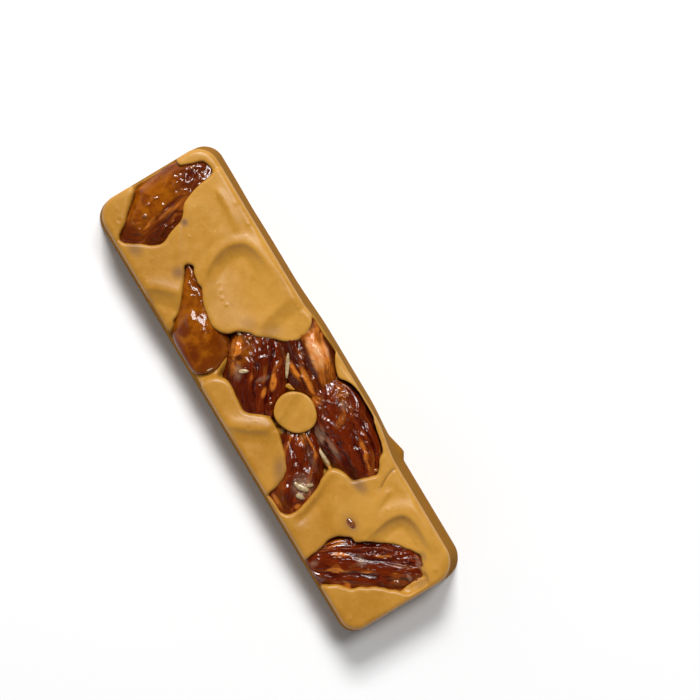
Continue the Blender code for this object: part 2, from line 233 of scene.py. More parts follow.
# Folds where one wave of chocolate stopped against the next: path, height and half widths of the ridge (outer, inner),
# depth of the drop on the left of the path and where it runs from and to, how far it takes to come back up.
FOLDS = [
    dict(path=[(-18.5, 12.2), (-21.5, 12.2), (-24.7, 12.0), (-28.0, 11.5), (-30.4, 10.2), (-31.6, 7.4), (-31.5, 4.6), (-30.5, 1.9), (-28.6, -0.9), (-26.6, -2.9)], ridge=0.32, outer=1.4, inner=0.9, drop=1.60, start=0.0, stop=3.2, back=13.0, ends=(0.35, 0.20), reach=9.0),
    dict(path=[(-15.4, 13.2), (-15.1, 10.5), (-14.6, 7.5), (-13.9, 5.0), (-12.6, 2.6)], ridge=0.14, outer=1.5, inner=1.0, drop=1.10, start=0.1, stop=3.3, back=4.0, ends=(0.35, 0.2)),
    dict(path=[(-44.5, 10.6), (-41.0, 10.9), (-37.0, 10.7), (-32.4, 9.8)], ridge=0.30, outer=0.7, inner=1.2, drop=0.0, start=0.0, stop=1.0, back=1.0, ends=(0.3, 0.3)),
    dict(path=[(-33.4, 9.2), (-34.5, 6.6), (-34.5, 3.8), (-33.6, 1.2), (-32.0, -1.2)], ridge=0.10, outer=1.0, inner=1.0, drop=0.10, start=0.2, stop=1.6, back=1.0, ends=(0.3, 0.3)),
    dict(path=[(-40.9, 0.4), (-39.2, -0.9), (-37.4, -2.1), (-35.4, -3.8), (-34.4, -5.6)], ridge=0.11, outer=0.35, inner=0.5, drop=0.0, start=0.0, stop=1.0, back=1.0, ends=(0.1, 0.5)),
    dict(path=[(-27.6, -6.9), (-29.2, -8.2), (-31.0, -10.0), (-32.6, -12.2), (-33.4, -14.0)], ridge=0.26, outer=1.6, inner=0.9, drop=1.60, start=0.2, stop=3.8, back=5.0, ends=(0.15, 0.25)),
    dict(path=[(7.2, -5.0), (5.8, -6.4), (4.5, -8.3), (3.0, -10.3), (1.5, -12.2), (0.0, -14.0)], ridge=0.48, outer=1.8, inner=1.1, drop=0.72, start=0.2, stop=3.2, back=5.0, ends=(0.15, 0.35)),
    dict(path=[(48.5, 10.0), (46.4, 10.9), (43.6, 11.2), (40.6, 11.3), (38.0, 10.8), (36.2, 9.5), (35.5, 7.4), (35.5, 5.0), (36.0, 2.6), (37.0, 0.2)], ridge=0.56, outer=2.3, inner=1.1, drop=1.45, start=0.0, stop=3.3, back=8.0, ends=(0.3, 0.12)),
    dict(path=[(33.8, -4.4), (31.5, -4.2), (29.6, -3.2), (27.8, -2.3), (25.8, -2.0)], ridge=0.14, outer=2.2, inner=0.9, drop=0.48, start=0.2, stop=2.6, back=6.0, ends=(0.3, 0.3)),
    dict(path=[(25.1, 1.0), (25.8, -0.4), (27.0, -1.8), (29.2, -3.1)], ridge=0.08, outer=0.3, inner=0.4, drop=0.0, start=0.0, stop=1.0, back=1.0, ends=(0.4, 0.3)),
    dict(path=[(36.3, 1.6), (36.7, 0.4), (37.3, -0.4), (38.2, 0.4), (39.2, 1.6)], ridge=0.16, outer=0.4, inner=0.4, drop=0.0, start=0.0, stop=1.0, back=1.0, ends=(0.2, 0.2)),
    dict(path=[(30.6, 10.4), (31.2, 8.0), (32.2, 5.9), (33.6, 4.1), (34.8, 2.2)], ridge=0.34, outer=1.3, inner=0.8, drop=0.0, start=0.0, stop=1.0, back=1.0, ends=(0.3, 0.4)),
]
# A trough inside the right lobe's pale rim, and the fine crack near the middle of the +Y side.
TROUGH = [(21.0, 3.4), (21.2, 0.5), (21.9, -2.0), (23.2, -4.2), (24.2, -6.4), (24.9, -9.0), (25.0, -12.0)]
CRACK = [(27.25, 13.4), (27.5, 11.9), (27.9, 10.6), (28.7, 9.2), (29.6, 7.9), (30.2, 6.8)]
# Drops and bubbles on the face: x, y, radius, height (negative is a pit).
BEADS = [
    (-22.6, -0.1, 0.55, 0.10), (-20.9, 0.0, 0.55, 0.12), (-24.1, 0.5, 0.5, 0.07), (-25.7, 0.9, 0.6, 0.08), (-38.5, 12.7, 0.8, 0.10), (-33.2, 12.9, 0.5, 0.12), (-37.4, 0.6, 0.45, 0.10), (-37.3, -8.5, 0.5, 0.09),
    (-50.4, -9.6, 0.5, 0.10), (-34.6, 0.4, 0.5, 0.07), (-31.2, 11.1, 0.5, 0.08), (-42.3, 4.6, 0.4, 0.06), (43.3, 8.8, 0.42, 0.14), (42.5, 7.6, 0.5, 0.08), (34.0, 7.1, 0.7, 0.12), (31.0, 9.0, 0.5, 0.07),
    (50.2, 9.2, 0.9, 0.10), (50.2, -2.5, 0.4, 0.09), (49.8, -11.7, 0.45, 0.12), (44.5, -11.3, 0.4, 0.07), (31.8, -12.4, 0.4, 0.08), (31.5, -6.2, 0.4, 0.08), (29.4, -2.3, 0.45, 0.08), (30.4, 1.6, 0.4, 0.06),
    (6.9, -13.2, 0.6, 0.07), (3.6, -7.2, 0.5, 0.10), (-7.6, -11.6, 0.4, 0.05), (-12.9, -3.0, 0.5, 0.05), (4.0, -9.45, 0.42, -0.34), (-12.6, 12.9, 0.5, 0.12), (-11.3, 12.6, 0.45, 0.12), (-13.9, 8.7, 0.4, 0.06),
    (27.3, -12.0, 0.4, 0.06), (-26.4, -12.4, 0.4, 0.06), (-34.6, -11.9, 0.35, 0.06), (47.0, -6.3, 0.35, 0.05), (-18.4, 4.4, 0.4, 0.05), (-23.0, 8.2, 0.4, 0.05), (29.0, -9.6, 0.4, 0.06),
]

NOISE_A, NOISE_B, NOISE_C = Noise(11), Noise(23), Noise(37)


def carried(x, y, path, values):
    """Values given along a path, carried to all points by nearness."""
    total, weight = np.zeros(x.shape), np.zeros(x.shape)
    for (px, py), value in zip(path, values):
        w = ((x - px) ** 2 + (y - py) ** 2 + 0.25) ** -1.5
        total += w * value
        weight += w
    return total / weight


def blurred(plan, sigma):
    """A plan map made softer, by averages about sigma millimetres wide."""
    reach = int(math.ceil(2.5 * sigma / GRID))
    weights = np.exp(-0.5 * (np.arange(-reach, reach + 1) * GRID / sigma) ** 2)
    weights /= weights.sum()
    for axis in (0, 1):
        padded = np.pad(plan, [(reach, reach) if n == axis else (0, 0) for n in (0, 1)], mode="edge")
        plan = sum(w * np.take(padded, np.arange(i, i + plan.shape[axis]), axis=axis) for i, w in enumerate(weights))
    return plan


def past_ends(x, y, path, distance, side, reach):
    """Distance to the left of a path, carried on past its ends, and a share that falls from 1 to 0 past them."""
    q, share = distance * side, np.ones(x.shape)
    for end, before, turn in ((path[0], path[1], -1.0), (path[-1], path[-2], 1.0)):
        tx, ty = (end - before) / np.linalg.norm(end - before)
        dx, dy = x - end[0], y - end[1]
        past = dx * tx + dy * ty
        nearest = (np.abs(np.hypot(dx, dy) - distance) < 1e-6) & (past > 0.0)
        q = np.where(nearest, turn * (tx * dy - ty * dx), q)
        share = np.where(nearest, share * smoothstep(reach, 0.0, past), share)
    return q, share


def fold_height(x, y):
    """How far the face stands above or below HEIGHT."""
    h = 0.10 * NOISE_A(x / 12.0, y / 8.0, 0.3) + 0.032 * NOISE_B(x / 3.6, y / 3.2, 0.7)
    for fold in FOLDS:
        path = spline(fold["path"], step=0.5)
        distance, side, _ = path_field(x, y, path)
        q, near = past_ends(x, y, path, distance, side, fold.get("reach", 3.0))
        first, last = fold["ends"]
        run = np.concatenate(([0.0], np.cumsum(np.linalg.norm(np.diff(path, axis=0), axis=1))))
        share = run / run[-1]
        taper = carried(x, y, path, smoothstep(0.0, first, share) * smoothstep(0.0, last, 1.0 - share))
        width = np.where(q < 0, fold["outer"], fold["inner"])
        rise = fold["ridge"] * np.exp(-((q / width) ** 2))
        u = np.maximum(q - fold["start"], 0.0) / (0.5 * (fold["stop"] - fold["start"]))
        fall = fold["drop"] * (1.0 - (1.0 + u) * np.exp(-u)) * np.exp(-np.maximum(q - fold["stop"], 0.0) / fold["back"])
        change = 1.40 * taper * near * (rise - fall)
        inner = smoothstep(3.0, 5.6, distance)
        h = h + change * (1.0 - inner) + blurred(change, 1.7) * inner
    distance, side, along = path_field(x, y, spline(TROUGH, step=0.5))
    deep = 0.20 + 0.66 * np.exp(-(((along - 0.62) / 0.26) ** 2))
    h = h - deep * np.exp(-(((distance * side - 1.5) / 1.2) ** 2)) * smoothstep(0.0, 0.2, along) * smoothstep(0.0, 0.15, 1.0 - along)
    distance, side, along = path_field(x, y, spline(CRACK, step=0.3))
    q = distance * side
    ends = smoothstep(0.0, 0.1, along) * smoothstep(0.0, 0.3, 1.0 - along)
    h = h - ends * (0.26 * np.exp(-((q / 0.26) ** 2)) - 0.10 * smoothstep(0.0, 0.3, q) * np.exp(-np.maximum(q, 0.0) / 1.6))
    # The corner beyond the end almond set a little lower than the lobe beside it.
    h = h - 0.5 * smoothstep(-46.35, -46.95, x + 0.06 * (y - 13.0)) * smoothstep(3.0, 7.0, y)
    # So did the small three-cornered patch of rim between two almonds.
    h = h - 0.55 * blob(x, y, 4.0, 13.4, 3.6, 1.6, -8.0, 0.5)
    for bx, by, radius, height in BEADS:
        h = h + 1.35 * height * np.exp(-(((x - bx) ** 2 + (y - by) ** 2) / (radius * 0.6) ** 2))
    # A ring left by a bubble near the -X -Y corner.
    ring = np.sqrt((x + 48.0) ** 2 + (y + 10.4) ** 2)
    h = h + 0.10 * np.exp(-(((ring - 0.75) / 0.26) ** 2)) - 0.08 * np.exp(-((ring / 0.5) ** 2))
    # No crest stands more than 0.55 mm over the rest of the face.
    return np.where(h > 0.25, 0.25 + 0.30 * np.tanh((h - 0.25) / 0.30), h)


def plug_field(x, y, z):
    a = math.radians(PLUG_TURN)
    u = (x - PLUG_AT[0]) * math.cos(a) + (y - PLUG_AT[1]) * math.sin(a)
    v = -(x - PLUG_AT[0]) * math.sin(a) + (y - PLUG_AT[1]) * math.cos(a)
    waist = 1.0 - (1.0 - PLUG_WAIST) * smoothstep(13.4, 8.6, z)
    angle = np.arctan2(v, u)
    wobble = 1.0 + 0.018 * np.cos(3.0 * angle + 0.6) + 0.012 * np.cos(5.0 * angle - 1.1)
    share = np.sqrt((u / PLUG_RADII[0]) ** 2 + (v / PLUG_RADII[1]) ** 2)
    side = (share - waist * wobble) * math.sqrt(PLUG_RADII[0] * PLUG_RADII[1])
    # Two fine ridges and a shallow dip run across the top.
    across = (x - 4.75) * 0.894 + (y + 0.5) * 0.447
    top = PLUG_TOP - 0.018 * (x - 6.2) + 0.06 * np.exp(-(((across + 0.15) / 0.40) ** 2)) + 0.06 * np.exp(-(((across + 1.5) / 0.30) ** 2)) * smoothstep(1.5, -1.0, y)
    top = top - 0.30 * smoothstep(-0.9, 1.9, across) * np.exp(-np.maximum(across - 1.9, 0.0) / 1.6)
    return smooth_max(side, z - top, 0.55)


def surface_nets(f, xs, ys, zs):
    """A mesh of quads where f changes sign: one vertex in each cell, at the mean of its edges' crossings."""
    inside = f < 0
    count = np.zeros(tuple(n - 1 for n in f.shape), np.int8)
    corners = [(i, j, k) for i in (0, 1) for j in (0, 1) for k in (0, 1)]

    def at(array, corner):
        return array[tuple(slice(c, n - 1 + c) for c, n in zip(corner, f.shape))]

    for corner in corners:
        count += at(inside, corner)
    active = (count > 0) & (count < 8)
    index = np.full(active.shape, -1, np.int64)
    index[active] = np.arange(active.sum())
    ci, cj, ck = np.nonzero(active)
    value = {corner: at(f, corner)[active] for corner in corners}
    place = {corner: np.stack((xs[ci + corner[0]], ys[cj + corner[1]], zs[ck + corner[2]]), axis=1) for corner in corners}
    total = np.zeros((len(ci), 3))
    weight = np.zeros(len(ci))
    for a in corners:
        for axis in range(3):
            if a[axis]:
                continue
            b = tuple(1 if n == axis else a[n] for n in range(3))
            fa, fb = value[a], value[b]
            crossing = (fa < 0) != (fb < 0)
            t = np.where(crossing, fa / np.where(crossing, fa - fb, 1.0), 0.0)[:, None]
            total += np.where(crossing[:, None], place[a] * (1 - t) + place[b] * t, 0.0)
            weight += crossing
    verts = total / weight[:, None]
    quads = []
    for axis in range(3):
        u, v = (axis + 1) % 3, (axis + 2) % 3
        low = tuple(slice(0, -1) if n == axis else slice(1, -1) for n in range(3))
        high = tuple(slice(1, None) if n == axis else slice(1, -1) for n in range(3))
        a, b = inside[low], inside[high]

        def cell(du, dv):
            key = [None, None, None]
            key[axis] = slice(None)
            key[u] = slice(1, None) if du else slice(0, -1)
            key[v] = slice(1, None) if dv else slice(0, -1)
            return index[tuple(key)]

        ring = [cell(0, 0), cell(1, 0), cell(1, 1), cell(0, 1)]
        out = a & ~b
        quads.append(np.stack([r[out] for r in ring], axis=1))
        back = ~a & b
        quads.append(np.stack([r[back] for r in reversed(ring)], axis=1))
    return verts, np.vstack(quads)


def lookup(grid, xs, ys, x, y):
    """A plan map read between its points."""
    i = np.clip((x - xs[0]) / (xs[1] - xs[0]), 0, len(xs) - 1.001)
    j = np.clip((y - ys[0]) / (ys[1] - ys[0]), 0, len(ys) - 1.001)
    i0, j0 = i.astype(int), j.astype(int)
    s, t = i - i0, j - j0
    return (grid[i0, j0] * (1 - s) + grid[i0 + 1, j0] * s) * (1 - t) + (grid[i0, j0 + 1] * (1 - s) + grid[i0 + 1, j0 + 1] * s) * t


XS = np.arange(-55.7, 55.71, GRID)
YS = np.arange(-16.2, 17.3, GRID)
ZS = np.concatenate(([-0.3, 0.0, 0.15, 0.35, 0.7, 1.2], np.arange(2.0, 6.0, 1.0), np.arange(6.0, 11.4, 0.5), np.arange(11.5, 14.75, 0.2)))
PX, PY = np.meshgrid(XS, YS, indexing="ij")


def outline_field(turns, rough=0.10):
    distance, side, _ = path_field(PX, PY, spline(turns, closed=True, step=0.4), closed=True)
    return distance * side + rough * NOISE_C(PX / 1.7, PY / 1.7, 0.2) + 0.5 * rough * NOISE_B(PX / 0.7, PY / 0.7, 0.9)


RECESS = np.minimum(outline_field(MIDDLE_RECESS, 0.07), np.minimum(outline_field(END_RECESS, 0.10), outline_field(SLANT_RECESS, 0.12)))
FACE = HEIGHT - 0.2 + fold_height(PX, PY)  # the crests of the folds reach the solids' top
FLOOR = np.full(PX.shape, RECESS_FLOOR)
for sx, sy, rx, ry, turn, level in SHELVES:
    FLOOR = FLOOR + (np.maximum(level, FLOOR) - FLOOR) * blob(PX, PY, sx, sy, rx, ry, turn, 0.3)
FLOOR = FLOOR + 0.14 * NOISE_A(PX / 1.5, PY / 1.5, 0.5)
# The lips are full and round, but thin where a recess runs close to the +Y wall.
LIP = 0.85 - 0.5 * smoothstep(12.2, 13.6, PY) * smoothstep(-12.5, -9.5, PX) * smoothstep(24.5, 21.5, PX) - 0.35 * smoothstep(-49.0, -51.0, PX) * smoothstep(-7.0, -4.0, PY)
LIP = LIP - 0.4 * smoothstep(49.5, 51.5, PX) * smoothstep(-1.0, 1.5, PY) * smoothstep(9.5, 8.0, PY)
LIP = LIP + 0.7 * blob(PX, PY, -9.0, -11.5, 2.4, 5.0, 0.0, 0.5) + 0.35 * blob(PX, PY, 22.2, -3.0, 2.0, 8.0, 14.0, 0.5) + 0.5 * blob(PX, PY, -51.0, -5.4, 2.6, 2.6, 0.0, 0.6)
FAR_BASE, FAR_FACE = far_base(PX), far_face(PX)
# The spur of flash on the +Y side.
SPUR = 1.1 * np.clip(np.minimum((PX - 21.3) / (26.0 - 21.3), (27.7 - PX) / (27.7 - 26.0)), 0.0, 1.0)
SPUR = smooth_min(SPUR, np.full(PX.shape, 1.12), 0.25)


def wall_field(x, y, z, base_far, face_far, spur):
    """Distance from the mould's walls, below 0 inside."""
    up = z / HEIGHT
    dx = np.abs(x) - (LENGTH / 2 - END_DRAFT * up)
    far = base_far + (face_far - base_far) * up + spur * (1.0 - smoothstep(0.6, 3.4, z))
    dy = np.maximum(y - far, -y - (HALF_WIDTH - SIDE_DRAFT * up))
    radius = np.where(x > 0, np.where(y > 0, 5.4, 3.7), 4.6)
    qx, qy = dx + radius, dy + radius
    return np.minimum(np.maximum(qx, qy), 0.0) + np.hypot(np.maximum(qx, 0.0), np.maximum(qy, 0.0)) - radius


def chocolate_field(x, y, z, recess, face, floor, lip, base_far, face_far, spur):
    """Below 0 inside the chocolate. Distances are close to true near the surface."""
    wall = wall_field(x, y, z, base_far, face_far, spur)
    bar = smooth_max(smooth_max(wall, z - face, 1.4), -z, 0.5)
    hollow = smooth_max(recess, floor - z, 1.6)
    bar = smooth_max(bar, -hollow, lip)
    return smooth_min(bar, plug_field(x, y, z), 0.5)


def make_chocolate():
    field = np.empty((len(XS), len(YS), len(ZS)))
    for k, z in enumerate(ZS):
        field[:, :, k] = chocolate_field(PX, PY, z, RECESS, FACE, FLOOR, LIP, FAR_BASE, FAR_FACE, SPUR)
    verts, quads = surface_nets(field, XS, YS, ZS)

    def exact(p):
        x, y, z = p.T
        maps = [lookup(m, XS, YS, x, y) for m in (RECESS, FACE, FLOOR, LIP, FAR_BASE, FAR_FACE, SPUR)]
        return chocolate_field(x, y, z, *maps)

    # Move each vertex onto the surface itself, along the field's slope.
    for _ in range(2):
        value = exact(verts)
        slope = np.empty_like(verts)
        for axis in range(3):
            step = np.zeros(3)
            step[axis] = 0.03
            slope[:, axis] = (exact(verts + step) - exact(verts - step)) / 0.06
        size = np.maximum((slope**2).sum(axis=1), 0.25)
        move = -(value / size)[:, None] * slope
        verts = verts + np.clip(move, -0.12, 0.12)
    verts[:, 2] = np.maximum(verts[:, 2], 0.0)
    # The flat underside: its fine quads give way to one face.
    low = verts[quads][:, :, 2].max(axis=1) < 0.02
    border = edge_loop(quads[low])
    quads = quads[~low]
    used = np.unique(np.concatenate((quads.ravel(), border)))
    renumber = np.full(len(verts), -1, np.int64)
    renumber[used] = np.arange(len(used))
    verts, quads, border = verts[used], renumber[quads], renumber[border]
    verts[border, 2] = 0.0
    centre = len(verts)
    verts = np.vstack((verts, [[0.0, 0.0, 0.0]]))
    place = np.array([0.0, SHIFT_Y, 0.0])
    mesh_faces = [tuple(q) for q in quads.tolist()]
    base = base_fan(verts, border)
    obj = make_mixed("chocolate", verts[:centre] + place, mesh_faces + base)
    return obj, verts[:centre]


def edge_loop(quads):
    """The outer border of a patch of quads, in order."""
    edges = {}
    for quad in quads.tolist():
        for a, b in zip(quad, quad[1:] + quad[:1]):
            if (b, a) in edges:
                del edges[(b, a)]
            else:
                edges[(a, b)] = True
    after = {a: b for a, b in edges}
    best = []
    while after:
        start = next(iter(after))
        loop = [start]
        while after.get(loop[-1], start) != start:
            loop.append(after.pop(loop[-1]))
        after.pop(loop[-1], None)
        if len(loop) > len(best):
            best = loop
    return np.array(best)


def base_fan(verts, border):
    """The underside as one face inside its border."""
    return [tuple(border.tolist())]


def make_mixed(name, verts_mm, faces):
    mesh = bpy.data.meshes.new(name)
    mesh.from_pydata((np.asarray(verts_mm) * MM).tolist(), [], faces)
    mesh.validate()
    mesh.shade_smooth()
    obj = bpy.data.objects.new(name, mesh)
    bpy.context.scene.collection.objects.link(obj)
    return obj


# Faint stains where an almond lies just under the face: x, y, radius x, radius y, turn, strength.
STAINS = [
    (-40.5, 1.3, 0.8, 0.7, 0, 0.9), (-41.0, -10.6, 1.5, 1.2, 20, 0.55), (-32.0, -5.2, 1.3, 1.2, 30, 0.7), (-12.7, 0.7, 1.0, 0.9, 20, 0.75), (-14.9, 2.0, 1.8, 1.2, 40, 0.30),
    (26.4, 4.6, 2.0, 1.1, 10, 0.70), (15.0, -8.2, 2.3, 1.3, -30, 0.55), (17.0, -9.2, 0.9, 1.6, 10, 0.40), (-11.3, 5.2, 1.4, 2.2, -20, 0.30), (34.3, -9.6, 0.8, 1.6, 0, 0.35), (51.3, 5.4, 0.7, 1.5, 0, 0.4),
    (32.6, -1.1, 2.0, 1.2, 0, 0.45), (46.5, 8.6, 1.0, 0.5, -10, 0.5), (-30.3, 3.8, 1.6, 0.8, -60, 0.12),
]


# =====================================================================================================================
# The almonds
# =====================================================================================================================
# As in the solids: place, height of the top, length, width, thickness, turn, rise, bluntness of the two ends. Then the
# looks: depth of the skin's furrows and of the glaze's lumps, how far the ends come up to the mould's floor, how round
# the section is (1 is an ellipse), and the tone of the glaze.
ALMONDS = {
    "almond_end": dict(at=(-46.1, -0.2), top=13.5, length=28.0, width=14.6, thick=9.4, turn=-80.0, rise=0.0, first=0.48, last=0.58, furrow=0.12, lump=0.12, level=0.55, full=0.84, tone=0.75),
    "almond_teardrop": dict(at=(-21.9, -7.0), top=13.5, length=24.2, width=13.0, thick=9.2, turn=-22.0, rise=0.0, first=1.12, last=0.45, furrow=0.03, lump=0.05, level=0.86, full=0.85, tone=1.0),
    "almond_left": dict(at=(-5.2, -2.2), top=13.6, length=22.8, width=14.8, thick=9.2, turn=-34.0, rise=0.0, first=0.45, last=0.50, furrow=0.30, lump=0.14, level=0.5, full=0.86, tone=0.0),
    "almond_far_left": dict(at=(-4.2, 9.1), top=13.4, length=21.0, width=13.4, thick=8.8, turn=-10.0, rise=0.5, first=0.50, last=0.42, furrow=0.30, lump=0.12, level=0.6, full=0.86, tone=0.22, smooth=0.25),
    "almond_far_right": dict(at=(15.6, 8.1), top=13.7, length=24.4, width=14.2, thick=9.4, turn=-5.0, rise=0.0, first=0.45, last=0.55, furrow=0.26, lump=0.20, level=0.5, full=0.86, tone=0.0),
    "almond_near_right": dict(at=(16.8, -6.0), top=13.3, length=21.6, width=13.2, thick=8.8, turn=-40.0, rise=0.0, first=0.55, last=0.38, furrow=0.22, lump=0.16, level=0.5, full=0.86, tone=0.0),
    "almond_slant": dict(at=(42.1, -2.9), top=13.8, length=27.4, width=13.2, thick=9.4, turn=55.0, rise=0.0, first=0.42, last=0.46, furrow=0.32, lump=0.12, level=0.55, full=0.84, tone=0.0),
}

